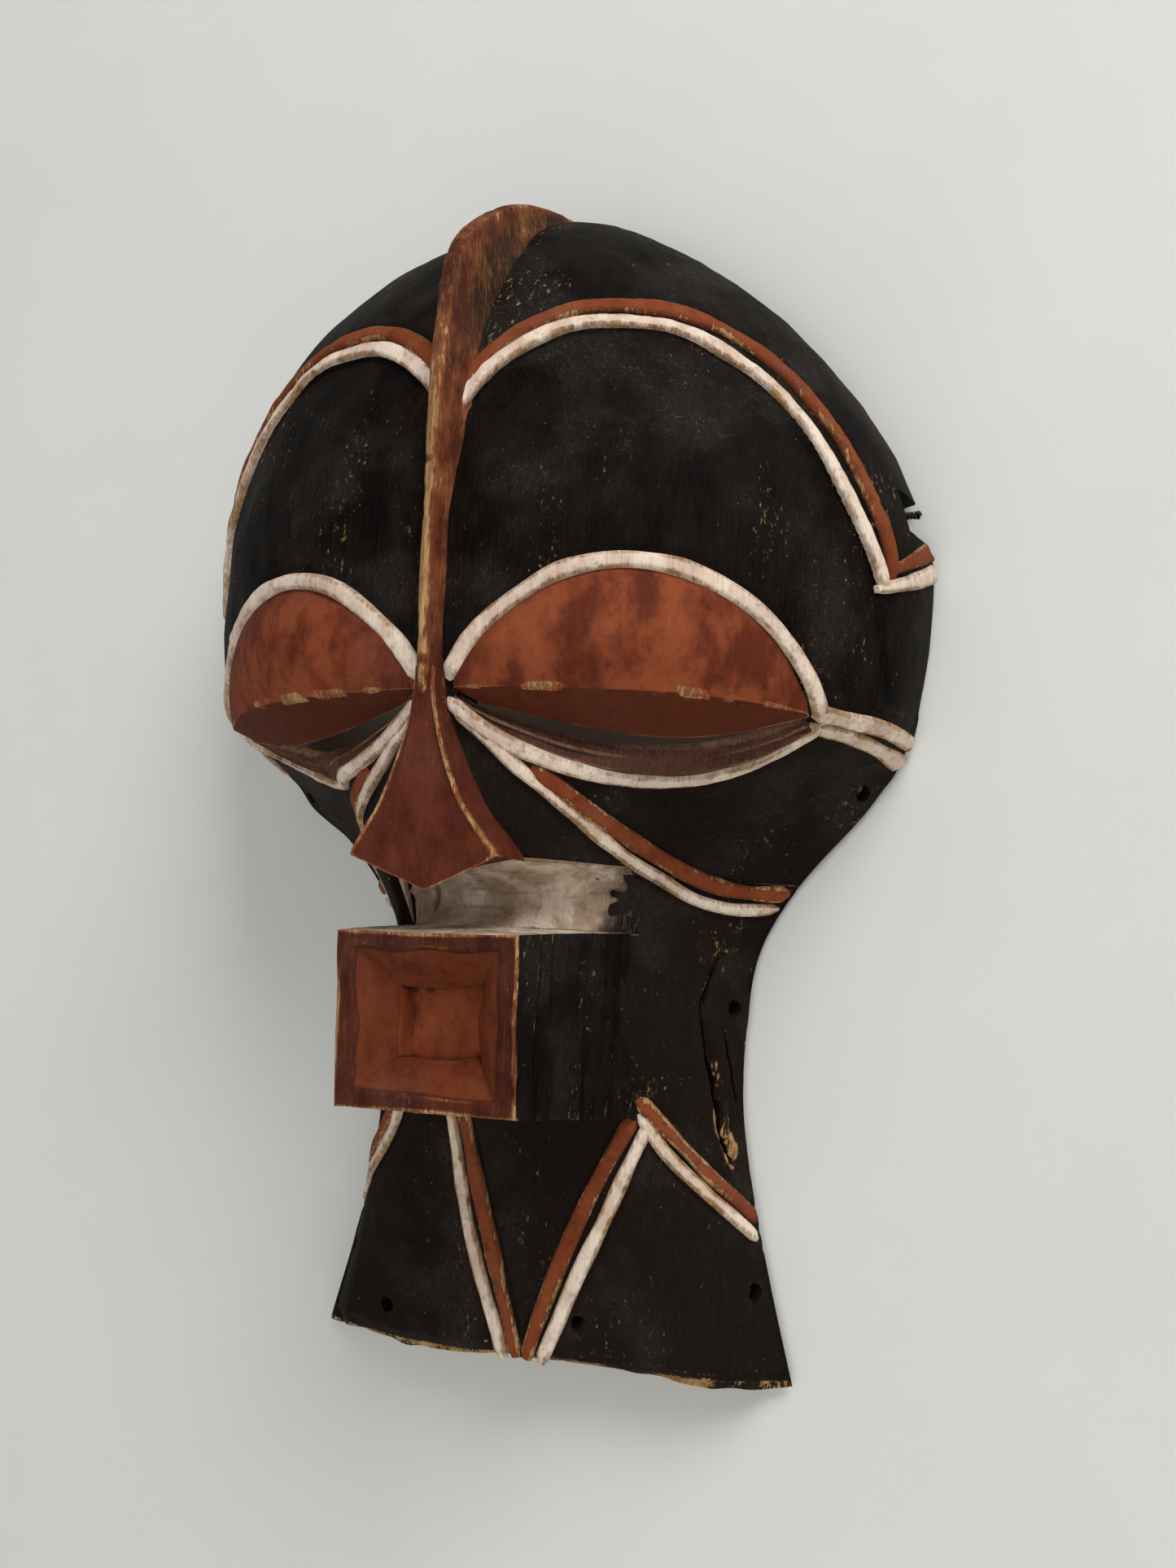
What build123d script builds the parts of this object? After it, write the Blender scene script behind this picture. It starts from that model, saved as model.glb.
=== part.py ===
"""Carved wooden face mask with a tall crest, a square mouth box and a wire hanger.

The mask is carved from one block of light wood and hollowed from behind.  Each carved and
painted zone of the block is its own piece here, and neighbours meet face to face.
Frame: +X is the viewer's right, the face looks along -Y, +Z is up, and Y = 0 is the wall.
The origin is the point where the hanging wire bears on its nail.
"""
from build123d import *
import os
from math import sqrt

os.makedirs("parts", exist_ok=True)

# ---- driving dimensions (mm) ----
HANG_HEIGHT = 355.0        # nail above the lowest edge of the neck
WALL = 13.0                # thickness of the hollowed wood
RIB_RELIEF = 3.5           # how far the painted ribs stand above the wood
RIB_WIDTH = 5.5
NARROW_RIB = 4.6

CROWN_CENTRE = 305.0       # widest level of the head, above the neck edge
CROWN_RISE = 156.0
CROWN_DEPTH = 124.0
CROWN_LEFT = 153.0
CROWN_RIGHT = 148.0
LEFT_ROUNDNESS = 2.2       # the left side of the head is fuller than the right
RIGHT_ROUNDNESS = 1.57
CROWN_TOP = 458.0

NECK_FOOT = 2.0
CHIN_LEVEL = 187.0
EYE_LEVEL = 250.0

BOX_HALF_WIDTH = 35.4      # front of the mouth box
BOX_TOP = 166.0
BOX_BOTTOM = 98.0
BOX_FRONT = 115.5          # distance of its front from the wall
BOX_ROOT_HALF_WIDTH = 50.0
LIP_HALF_WIDTH = 48.0

NOSE_FRONT = 125.0
NOSE_HALF_TOP = 4.5
NOSE_HALF_BOTTOM = 29.0
NOSE_TIP_LEVEL = 176.0
NOSE_WING_LEVEL = 188.0

CREST_HALF_WIDTH = 8.0

TIE_HOLE_RADIUS = 3.2
TIE_HOLE_LEVEL = 18.0
TIE_HOLE_XS = (-60.0, 25.0)
SIDE_TIE_HOLES = ((75.0, 139.5), (86.0, 35.0), (122.0, 222.0))

WIRE_RADIUS = 0.7
WIRE_TIE_LEVEL = 326.0     # height of the wire eyes, which are the hanger's hinge line
WIRE_TIE_DEPTH = 7.0       # distance of the hinge line from the wall
WIRE_TIE_INSET = 19.0      # distance of each eye inside the rim
WIRE_EYE_RADIUS = 3.0
WIRE_TAIL_LENGTH = 13.0
NAIL_RADIUS = 2.0

# Levels of the lower face and neck: height, half width, mid point, shoulder point and front
# depth.  Mid and shoulder points are (distance from the middle, distance from the wall).
NECK_LEVELS = (
    (NECK_FOOT, 101, (85, 14), (45, 23), 26),
    (50, 88, (76, 18), (44, 31), 34),
    (96, 79, (68, 24), (42, 40), 44),
    (134, 79, (66, 32), (42, 58), 64),
    (166, 85, (56, 38), (28, 82), 92),
    (CHIN_LEVEL, 98, (65, 38), (30, 98), 108),
)
CHEEK_LEVEL = (219, 126, (68, 66), (45, 100), 113)


def up(height):
    """Height above the neck edge, turned into the frame's Z."""
    return height - HANG_HEIGHT


def crown_section(height, grow):
    """Half widths and depth of the head at a height; grow moves the surface outward."""
    rise = max(height - CROWN_CENTRE, 0) / (CROWN_RISE + grow)
    left = (CROWN_LEFT + grow) * (1 - rise**LEFT_ROUNDNESS) ** (1 / LEFT_ROUNDNESS)
    right = (CROWN_RIGHT + grow) * (1 - rise**RIGHT_ROUNDNESS) ** (1 / RIGHT_ROUNDNESS)
    depth = (CROWN_DEPTH + grow) * sqrt(1 - rise**2)
    drop = max(CROWN_CENTRE - height, 0) ** 2
    return left - 0.0022 * drop, right - 0.0018 * drop, depth - 0.0012 * drop


def crown_outline(height, grow):
    """Seven points round the front of the head at a height."""
    left, right, depth = crown_section(height, grow)
    near, far = 0.5, sqrt(0.75)
    return [
        (-left, 0), (-left * far, -depth * near), (-left * near, -depth * far), (0, -depth),
        (right * near, -depth * far), (right * far, -depth * near), (right, 0),
    ]


def face_outline(level, grow):
    """Seven points round the front of the lower face or neck at one of its levels."""
    _, width, mid, shoulder, depth = level
    mid_x, mid_y = mid[0] + grow * 0.8, mid[1] + grow * 0.6
    shoulder_x, shoulder_y = shoulder[0] + grow * 0.4, shoulder[1] + grow * 0.9
    rim = width + grow
    return [
        (-rim, 0), (-mid_x, -mid_y), (-shoulder_x, -shoulder_y), (0, -depth - grow),
        (shoulder_x, -shoulder_y), (mid_x, -mid_y), (rim, 0),
    ]


def loft_outlines(outlines, back):
    """Solid through front outlines given as (height, points), closed at Y = back."""
    with BuildPart() as block:
        for height, points in outlines:
            with BuildSketch(Plane.XY.offset(up(height))):
                with BuildLine():
                    Spline(*points)
                    if back > 0:
                        Polyline(points[-1], (points[-1][0], back), (points[0][0], back), points[0])
                    else:
                        Line(points[-1], points[0])
                make_face()
        loft()
    return block.part


def neck_block(grow, back=0.0, overrun=0.0):
    outlines = [(level[0], face_outline(level, grow)) for level in NECK_LEVELS]
    if overrun:
        outlines.insert(0, (NECK_FOOT - overrun, outlines[0][1]))
    return loft_outlines(outlines, back)


def cheek_block(grow, back=0.0):
    chin = NECK_LEVELS[-1]
    outlines = [
        (CHIN_LEVEL, face_outline(chin, grow)),
        (CHEEK_LEVEL[0], face_outline(CHEEK_LEVEL, grow)),
        (EYE_LEVEL, crown_outline(EYE_LEVEL, grow)),
    ]
    return loft_outlines(outlines, back)


def crown_block(grow, back=0.0):
    top = CROWN_TOP + grow
    heights = [EYE_LEVEL, 280, CROWN_CENTRE, 340, 370, 398, 420, 436, 448, top]
    heights = [height for height in heights if height <= top]
    return loft_outlines([(height, crown_outline(height, grow)) for height in heights], back)


def whole_block(grow):
    with BuildPart() as block:
        add(neck_block(grow, back=2))
        add(cheek_block(grow, back=2))
        add(crown_block(grow, back=2))
        split(bisect_by=Plane.XZ, keep=Keep.TOP)
    return block.part


def front_prism(points, width, reach=150.0):
    """Band of constant width along points seen from the front, run straight back to the wall."""
    with BuildPart() as prism:
        with BuildSketch(Plane.XZ):
            with BuildLine() as path:
                if len(points) > 2:
                    Spline(*[(x, up(z)) for x, z in points])
                else:
                    Line(*[(x, up(z)) for x, z in points])
            trace(path.line, line_width=width)
        extrude(amount=reach)
    return prism.part


def side_prism(start, end, width, side):
    """Straight band seen from the side, from start to end as (distance from wall, height)."""
    with BuildPart() as prism:
        with BuildSketch(Plane.YZ):
            with BuildLine() as path:
                Line((-start[0], up(start[1])), (-end[0], up(end[1])))
            trace(path.line, line_width=width)
        extrude(amount=170.0 * side)
    return prism.part


def flip(points, side):
    return [(x * side, z) for x, z in points]


def save(piece, name):
    piece.label = name
    export_step(piece, f"parts/{name}.step")


HEAD = whole_block(0)
RELIEF = whole_block(RIB_RELIEF)


def rib(name, prism, cuts=()):
    """Painted rib: the prism kept between the wood's surface and the relief height."""
    with BuildPart() as piece:
        add(prism)
        add(RELIEF, mode=Mode.INTERSECT)
        add(HEAD, mode=Mode.SUBTRACT)
        for cut in cuts:
            add(cut, mode=Mode.SUBTRACT)
    save(piece.part, name)


# ---- mouth slot and eye slits, cut before the shells are written ----
with BuildPart() as lip_slot:
    with BuildSketch(Plane.YZ):
        with Locations((-105, up((BOX_TOP + CHIN_LEVEL) / 2))):
            Rectangle(60, CHIN_LEVEL - BOX_TOP)
    extrude(amount=LIP_HALF_WIDTH, both=True)

EYE_CORNERS = ((9, 246), (117, 245))
SLIT_LOW = (66, 227)
SLIT_HIGH = (66, 234)


def eye_slit(side):
    """Crescent opening under the lid."""
    inner, outer = flip(EYE_CORNERS, side)
    with BuildPart() as slit:
        with BuildSketch(Plane.XZ):
            with BuildLine():
                ends = [(x, up(z)) for x, z in (inner, outer)]
                low, high = [(side * x, up(z)) for x, z in (SLIT_LOW, SLIT_HIGH)]
                ThreePointArc(ends[0], low, ends[1])
                ThreePointArc(ends[0], high, ends[1])
            make_face()
        extrude(amount=150)
    return slit.part


SLITS = {side: eye_slit(side) for side in (1, -1)}


def rim_notch(side):
    """V notch in the rim where the hanging wire is tied."""
    rim = CROWN_RIGHT if side > 0 else CROWN_LEFT
    with BuildPart() as notch:
        with BuildSketch(Plane.XZ.offset(-2)):
            with BuildLine():
                Polyline(
                    (side * (rim + 8), up(346)), (side * (rim - 24), up(331.5)),
                    (side * (rim - 24), up(320.5)), (side * (rim + 8), up(318)), close=True,
                )
            make_face()
        extrude(amount=24)
    return notch.part


# ---- crown shell: the domed forehead and skull ----
with BuildPart() as crown_shell:
    add(crown_block(0, back=2))
    add(crown_block(-WALL, back=3), mode=Mode.SUBTRACT)
    split(bisect_by=Plane.XZ, keep=Keep.TOP)
    for side in (1, -1):
        add(rim_notch(side), mode=Mode.SUBTRACT)
save(crown_shell.part, "crown_shell")

# ---- cheek shell: cheeks and the hollow lower lids, split by the eye slits ----
with BuildPart() as cheek_shell:
    add(cheek_block(0, back=2))
    add(cheek_block(-WALL, back=3), mode=Mode.SUBTRACT)
    split(bisect_by=Plane.XZ, keep=Keep.TOP)
    for side in (1, -1):
        add(SLITS[side], mode=Mode.SUBTRACT)
        with BuildSketch(Plane.XZ):
            with Locations((side * SIDE_TIE_HOLES[2][0], up(SIDE_TIE_HOLES[2][1]))):
                Circle(TIE_HOLE_RADIUS)
        extrude(amount=60, mode=Mode.SUBTRACT)
save(cheek_shell.part, "cheek_shell")

# ---- neck collar: flared neck, open at the bottom, with the tie holes of the costume ----
with BuildPart() as neck_collar:
    add(neck_block(0, back=2))
    add(neck_block(-WALL, back=3, overrun=6), mode=Mode.SUBTRACT)
    split(bisect_by=Plane.XZ, keep=Keep.TOP)
    add(lip_slot.part, mode=Mode.SUBTRACT)
    with BuildSketch(Plane.XZ):
        with Locations(*[(x, up(TIE_HOLE_LEVEL)) for x in TIE_HOLE_XS]):
            Circle(TIE_HOLE_RADIUS)
        with Locations(*[(s * x, up(z)) for x, z in SIDE_TIE_HOLES[:2] for s in (1, -1)]):
            Circle(TIE_HOLE_RADIUS)
    extrude(amount=60, mode=Mode.SUBTRACT)
save(neck_collar.part, "neck_collar")

# ---- upper lip: scooped wood between the nose and the mouth box ----
with BuildPart() as upper_lip:
    with BuildSketch(Plane.YZ):
        with Locations((-86, up((BOX_TOP + CHIN_LEVEL) / 2))):
            Rectangle(22, CHIN_LEVEL - BOX_TOP)
        with Locations((-99, up((BOX_TOP + CHIN_LEVEL) / 2))):
            Ellipse(20, 9, mode=Mode.SUBTRACT)
    extrude(amount=LIP_HALF_WIDTH - 5, both=True)
    add(HEAD, mode=Mode.INTERSECT)
save(upper_lip.part, "upper_lip")

# ---- mouth box: hollow square mouth standing out from the chin ----
with BuildPart() as mouth_box:
    middle = up((BOX_TOP + BOX_BOTTOM) / 2)
    with BuildSketch(Plane.XZ.offset(BOX_FRONT)):
        with Locations((0, middle)):
            Rectangle(2 * BOX_HALF_WIDTH, BOX_TOP - BOX_BOTTOM - 2)
    with BuildSketch(Plane.XZ.offset(30)):
        with Locations((0, middle)):
            Rectangle(2 * BOX_ROOT_HALF_WIDTH, BOX_TOP - BOX_BOTTOM)
    loft()
    with BuildSketch(Plane.XZ.offset(BOX_FRONT)) as recess_mouth:
        with Locations((0, middle)):
            Rectangle(54, 50)
    with BuildSketch(Plane.XZ.offset(BOX_FRONT - 14)) as recess_floor:
        with Locations((0, middle)):
            Rectangle(34, 28)
    loft(mode=Mode.SUBTRACT)
    add(HEAD, mode=Mode.SUBTRACT)
save(mouth_box.part, "mouth_box")

# ---- crest: fin over the skull that thins into a ridge between the eyes ----
CREST_BACK = (0, 461)
CREST_SKYLINE = ((27, 459), (54, 452), (82, 441), (105, 424), (122, 402), (129, 374), (131.5, 335))
CREST_FOOT = ((130.5, 280), (127, EYE_LEVEL))
with BuildPart() as crest:
    with BuildSketch(Plane.YZ):
        with BuildLine():
            edge = [CREST_BACK, *CREST_SKYLINE, *CREST_FOOT]
            Spline(*[(-y, up(z)) for y, z in edge])
            foot = CREST_FOOT[-1]
            Polyline(
                (-foot[0], up(foot[1])), (-100, up(foot[1])), (-70, up(380)),
                (0, up(440)), (0, up(CREST_BACK[1])),
            )
        make_face()
    extrude(amount=CREST_HALF_WIDTH, both=True)
    add(HEAD, mode=Mode.SUBTRACT)
save(crest.part, "crest")

# ---- nose: long flat-fronted wedge that widens to a pointed lower edge ----
with BuildPart() as nose:
    with BuildSketch(Plane.XZ.offset(NOSE_FRONT)):
        with BuildLine():
            Polyline(
                (-NOSE_HALF_TOP, up(EYE_LEVEL)), (NOSE_HALF_TOP, up(EYE_LEVEL)),
                (NOSE_HALF_BOTTOM, up(NOSE_WING_LEVEL)), (0, up(NOSE_TIP_LEVEL)),
                (-NOSE_HALF_BOTTOM, up(NOSE_WING_LEVEL)), close=True,
            )
        make_face()
    extrude(amount=-32, taper=-4)
    add(HEAD, mode=Mode.SUBTRACT)
    add(crest.part, mode=Mode.SUBTRACT)
save(nose.part, "nose")

# ---- eyelids: swollen half lenses whose lower face turns back under a level crease ----
LID_RELIEF = 6.0
LID_TOP = (66, 287)
LID_BOTTOM = 225.0
LID_LEVELS = (LID_BOTTOM, EYE_LEVEL, 275, 300)
LID_FORM = loft_outlines([(z, crown_outline(z, LID_RELIEF)) for z in LID_LEVELS], 0)

EYE_RIM_UPPER = (
    (10, 256), (19, 268), (32, 279), (49, 288), (68, 292), (87, 290), (104, 281), (116, 265), (122, 250),
)

for side, word in ((1, "right"), (-1, "left")):
    with BuildPart() as lid:
        with BuildSketch(Plane.XZ):
            with BuildLine():
                inner, outer = [(side * x, up(z)) for x, z in EYE_CORNERS]
                ThreePointArc(inner, (side * LID_TOP[0], up(LID_TOP[1])), outer)
                ThreePointArc(inner, (side * SLIT_HIGH[0], up(SLIT_HIGH[1])), outer)
            make_face()
        extrude(amount=150)
        add(LID_FORM, mode=Mode.INTERSECT)
        add(HEAD, mode=Mode.SUBTRACT)
        add(nose.part, mode=Mode.SUBTRACT)
        add(crest.part, mode=Mode.SUBTRACT)
        add(front_prism(flip(EYE_RIM_UPPER, side), RIB_WIDTH), mode=Mode.SUBTRACT)
    save(lid.part, f"eyelid_{word}")

# ---- painted ribs, as points seen from the front: distance from the middle, height ----
EYE_RIM_LOWER = ((11, 240), (30, 225), (50, 220), (69, 220), (89, 227), (105, 235), (118, 241))
BROW_WHITE = (
    (12, 361), (25, 373), (38, 380), (54, 382), (77, 380), (99, 367), (118, 345), (131, 321), (139, 300),
)
BROW_RED = ((12, 370), (25, 381), (52, 390), (76, 389), (101, 376), (121, 354), (135, 328), (144, 303))
CHEEK_WHITE = ((28, 221), (45, 205), (61, 192), (72, 183), (82, 178.5), (98, 178))
CHEEK_RED = ((38, 218), (51, 209), (65, 196.5), (77, 188), (87, 184.5), (102, 184))
SIDE_BAND_RED = ((51, 104), (92, 58))
SIDE_BAND_WHITE = ((53, 96), (92, 51))
THROAT_WHITE = {"right": ((50, 96), (11, 2)), "left": ((-27, 97), (-10, 2))}
THROAT_RED = {"right": ((43, 96), (4, 2)), "left": ((-21, 97), (-4, 2))}
TEMPLE_UPPER = ((50, 247), (0, 243))   # side view: distance from the wall, height
TEMPLE_LOWER = ((46, 241), (0, 236))
BROW_TIP = ((40, 297), (0, 314))

for side, word in ((1, "right"), (-1, "left")):
    eye_upper = front_prism(flip(EYE_RIM_UPPER, side), RIB_WIDTH)
    eye_lower = front_prism(flip(EYE_RIM_LOWER, side), NARROW_RIB)
    middle_pieces = (crest.part, nose.part)
    rib(f"eye_rim_upper_{word}", eye_upper, middle_pieces)
    rib(f"eye_rim_lower_{word}", eye_lower, (*middle_pieces, SLITS[side]))

    brow_white = front_prism(flip(BROW_WHITE, side), RIB_WIDTH)
    brow_red = front_prism(flip(BROW_RED, side), RIB_WIDTH)
    brow_tip = side_prism(*BROW_TIP, RIB_WIDTH, side)
    notch = rim_notch(side)
    rib(f"brow_band_white_{word}", brow_white, (crest.part, eye_upper))
    rib(f"brow_band_red_{word}", brow_red, (crest.part, brow_white, notch))
    rib(f"brow_tip_{word}", brow_tip, (brow_white, brow_red, notch))

    cheek_white = front_prism(flip(CHEEK_WHITE, side), NARROW_RIB)
    cheek_red = front_prism(flip(CHEEK_RED, side), NARROW_RIB)
    rib(f"cheek_band_white_{word}", cheek_white, (eye_lower, nose.part))
    rib(f"cheek_band_red_{word}", cheek_red, (eye_lower, cheek_white))

    temple_upper = side_prism(*TEMPLE_UPPER, NARROW_RIB, side)
    temple_lower = side_prism(*TEMPLE_LOWER, NARROW_RIB, side)
    rib(f"temple_rib_upper_{word}", temple_upper, (eye_upper, eye_lower))
    rib(f"temple_rib_lower_{word}", temple_lower, (eye_upper, eye_lower, temple_upper))

    throat_white = front_prism(THROAT_WHITE[word], RIB_WIDTH)
    throat_red = front_prism(THROAT_RED[word], RIB_WIDTH)
    rib(f"throat_band_white_{word}", throat_white, (mouth_box.part,))
    rib(f"throat_band_red_{word}", throat_red, (mouth_box.part, throat_white))
    side_red = front_prism(flip(SIDE_BAND_RED, side), NARROW_RIB)
    side_white = front_prism(flip(SIDE_BAND_WHITE, side), NARROW_RIB)
    rib(f"neck_band_red_{word}", side_red, (mouth_box.part, throat_white, throat_red))
    rib(f"neck_band_white_{word}", side_white, (mouth_box.part, throat_white, throat_red, side_red))

# ---- hanging wire: one iron wire over the nail, its ends in a twisted eye at each notch ----
def tie_x(side):
    """Distance of a wire eye from the middle."""
    rim = CROWN_RIGHT if side > 0 else CROWN_LEFT
    return side * (rim - WIRE_TIE_INSET)


for side, word in ((1, "right"), (-1, "left")):
    eye_place = Plane(
        origin=(tie_x(side), -WIRE_TIE_DEPTH, up(WIRE_TIE_LEVEL)), x_dir=(0, 1, 0), z_dir=(side, 0, 0)
    )
    with BuildPart(eye_place) as wire_tie:
        Torus(WIRE_EYE_RADIUS, WIRE_RADIUS)
        with Locations((0, WIRE_EYE_RADIUS * side, WIRE_TAIL_LENGTH / 2)):
            Cylinder(WIRE_RADIUS * 1.6, WIRE_TAIL_LENGTH)
    save(wire_tie.part, f"wire_tie_{word}")

with BuildPart() as hanging_wire:
    ends = [(tie_x(side), -WIRE_TIE_DEPTH, up(WIRE_TIE_LEVEL)) for side in (-1, 1)]
    with BuildLine() as route:
        FilletPolyline(
            ends[0], (0, -WIRE_TIE_DEPTH, WIRE_RADIUS), ends[1], radius=NAIL_RADIUS + WIRE_RADIUS
        )
    with BuildSketch(Plane(origin=route.line @ 0, z_dir=route.line % 0)):
        Circle(WIRE_RADIUS)
    sweep()
save(hanging_wire.part, "hanging_wire")
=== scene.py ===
"""Carved wooden mask: looks.  Heights are in millimetres above the foot of the neck and
depths in millimetres out from the wall, as a carver would mark them on the block."""
import math

import bmesh
import bpy
import numpy as np
from mathutils import Matrix, Vector


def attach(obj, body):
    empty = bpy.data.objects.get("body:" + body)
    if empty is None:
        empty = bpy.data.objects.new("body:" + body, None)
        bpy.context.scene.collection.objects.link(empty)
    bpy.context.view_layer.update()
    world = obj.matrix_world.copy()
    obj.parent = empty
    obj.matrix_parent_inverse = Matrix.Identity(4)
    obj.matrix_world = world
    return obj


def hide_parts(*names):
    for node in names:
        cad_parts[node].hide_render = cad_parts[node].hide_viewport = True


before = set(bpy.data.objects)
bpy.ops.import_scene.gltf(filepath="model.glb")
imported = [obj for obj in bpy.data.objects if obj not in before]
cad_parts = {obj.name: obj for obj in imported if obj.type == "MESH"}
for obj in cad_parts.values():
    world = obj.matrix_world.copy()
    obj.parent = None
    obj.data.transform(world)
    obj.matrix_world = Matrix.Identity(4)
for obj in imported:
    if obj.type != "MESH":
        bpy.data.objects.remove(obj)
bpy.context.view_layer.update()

# ---- Camera, wall, floor and light ----
# The mask hangs on a pale wall and is seen from a little to its right and from below its middle.
# The wall shows only from its front, and a weak lamp behind it lights the mask's hollow back.
HANG_HEIGHT = 355.0   # the nail, above the foot of the neck
MM = 0.001


def place(points):
    """Carver's (across, depth, height) in millimetres to the frame's metres."""
    points = np.asarray(points, dtype=float)
    return np.stack([points[..., 0], -points[..., 1], points[..., 2] - HANG_HEIGHT], axis=-1) * MM


def aim_camera(position, yaw, pitch, roll, lens):
    """Camera that looks along +Y turned left by yaw and up by pitch, then rolled."""
    camera = bpy.data.objects.new("camera", bpy.data.cameras.new("camera"))
    bpy.context.scene.collection.objects.link(camera)
    ahead = np.array([-math.sin(yaw) * math.cos(pitch), math.cos(yaw) * math.cos(pitch), math.sin(pitch)])
    level = np.array([math.cos(yaw), math.sin(yaw), 0.0])
    upright = np.cross(level, ahead)
    right = math.cos(roll) * level + math.sin(roll) * upright
    top = math.cos(roll) * upright - math.sin(roll) * level
    turn = Matrix([(right[i], top[i], -ahead[i]) for i in range(3)]).to_4x4()
    camera.matrix_world = Matrix.Translation(position) @ turn
    camera.data.lens = lens
    camera.data.clip_start = 0.01
    bpy.context.scene.camera = camera


aim_camera(
    position=(0.2769, -0.6063, 0.1471 - HANG_HEIGHT * MM),
    yaw=0.4189, pitch=0.12145, roll=0.0426, lens=37.364,
)


def new_material(name):
    """Empty node material and a function that adds nodes to it."""
    material = bpy.data.materials.new(name)
    material.use_nodes = True
    material.node_tree.nodes.clear()
    return material, Nodes(material.node_tree)


class Nodes:
    """Short way to add and join shader nodes in one tree."""

    def __init__(self, tree):
        self.tree = tree

    def add(self, kind, inputs=None, **settings):
        node = self.tree.nodes.new(kind)
        for key, value in settings.items():
            setattr(node, key, value)
        for key, value in (inputs or {}).items():
            if isinstance(value, bpy.types.NodeSocket):
                self.tree.links.new(value, node.inputs[key])
            else:
                node.inputs[key].default_value = value
        return node

    def math(self, operation, *values, clamp=False):
        node = self.add("ShaderNodeMath", dict(enumerate(values)), operation=operation)
        node.use_clamp = clamp
        return node.outputs[0]

    def ramp(self, value, low, high):
        """Smooth step from 0 at low to 1 at high."""
        ends = {"Value": value, "From Min": low, "From Max": high}
        return self.add("ShaderNodeMapRange", ends, interpolation_type="SMOOTHSTEP").outputs[0]

    def mix(self, factor, first, second):
        """From the first colour to the second by factor."""
        node = self.add("ShaderNodeMix", data_type="RGBA")
        for socket, value in zip((node.inputs[0], node.inputs[6], node.inputs[7]), (factor, first, second)):
            if isinstance(value, bpy.types.NodeSocket):
                self.tree.links.new(value, socket)
            else:
                socket.default_value = (*value, 1) if isinstance(value, tuple) else value
        return node.outputs[2]

    def noise(self, vector, scale, detail=3.0, roughness=0.55, distortion=0.0):
        """Noise of one scale, or of three that stretch it along the axes."""
        if isinstance(scale, tuple):
            vector, scale = self.add("ShaderNodeMapping", {"Vector": vector, "Scale": scale}).outputs[0], 1.0
        inputs = {
            "Vector": vector, "Scale": scale, "Detail": detail, "Roughness": roughness,
            "Distortion": distortion,
        }
        return self.add("ShaderNodeTexNoise", inputs).outputs[0]


def flat_plane(name, corners, material):
    mesh = bpy.data.meshes.new(name)
    mesh.from_pydata(corners, [], [(0, 1, 2, 3)])
    mesh.materials.append(material)
    plane = bpy.data.objects.new(name, mesh)
    bpy.context.scene.collection.objects.link(plane)


plaster, nodes = new_material("pale_plaster")
where = nodes.add("ShaderNodeTexCoord").outputs["Object"]
mottle = nodes.noise(where, 9.0, detail=5.0)
shade = nodes.mix(mottle, (0.66, 0.66, 0.62), (0.72, 0.72, 0.68))
paint = nodes.add("ShaderNodeBsdfPrincipled", {"Base Color": shade, "Roughness": 0.85})
clear = nodes.add("ShaderNodeBsdfTransparent")
behind = nodes.add("ShaderNodeNewGeometry").outputs["Backfacing"]
both = nodes.add("ShaderNodeMixShader", {0: behind, 1: paint.outputs[0], 2: clear.outputs[0]})
nodes.add("ShaderNodeOutputMaterial", {"Surface": both.outputs[0]})

WALL_GAP = 0.003
flat_plane("wall", [(-4, WALL_GAP, -1.2), (4, WALL_GAP, -1.2), (4, WALL_GAP, 3), (-4, WALL_GAP, 3)], plaster)
flat_plane("floor", [(-4, -4, -1.2), (4, -4, -1.2), (4, 4, -1.2), (-4, 4, -1.2)], plaster)
bpy.data.objects["wall"].visible_shadow = False   # lets hollow_light through


def soft_light(name, place_at, aim_at, size, power):
    lamp = bpy.data.lights.new(name, "AREA")
    lamp.shape, lamp.size, lamp.energy = "SQUARE", size, power
    light = bpy.data.objects.new(name, lamp)
    bpy.context.scene.collection.objects.link(light)
    away = Vector(place_at) - Vector(aim_at)
    light.matrix_world = Matrix.Translation(place_at) @ away.to_track_quat("Z", "Y").to_matrix().to_4x4()


soft_light("window_light", (1.15, -1.35, 1.75), (0, 0, -0.2), 1.3, 50)
soft_light("hollow_light", (-0.5, 1.7, 0.5), (0, 0, -0.1), 1.0, 9)
soft_light("room_fill", (0.2, -2.0, -1.0), (-0.1, 0, -0.3), 1.6, 17)
bpy.context.scene.view_settings.view_transform = "Standard"
world = bpy.data.worlds.new("room")
bpy.context.scene.world = world
world.use_nodes = True
sky = world.node_tree.nodes["Background"]
sky.inputs["Color"].default_value = (0.92, 0.95, 1.0, 1)
sky.inputs["Strength"].default_value = 0.34

# ---- Hanging wire ----
# One length of soft black iron wire, pulled up over the nail in the wall and tied at both
# ends in the rim notches.  It swings about the line through its two tied ends.
WIRE_THICKNESS = 1.4
WIRE_TIE_HEIGHT = 326.0
TIE_STEPS = 60
WIRE_TIE_DEPTH = 7.0
TIE_RIGHT = 129.0
TIE_LEFT = -134.0

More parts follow.
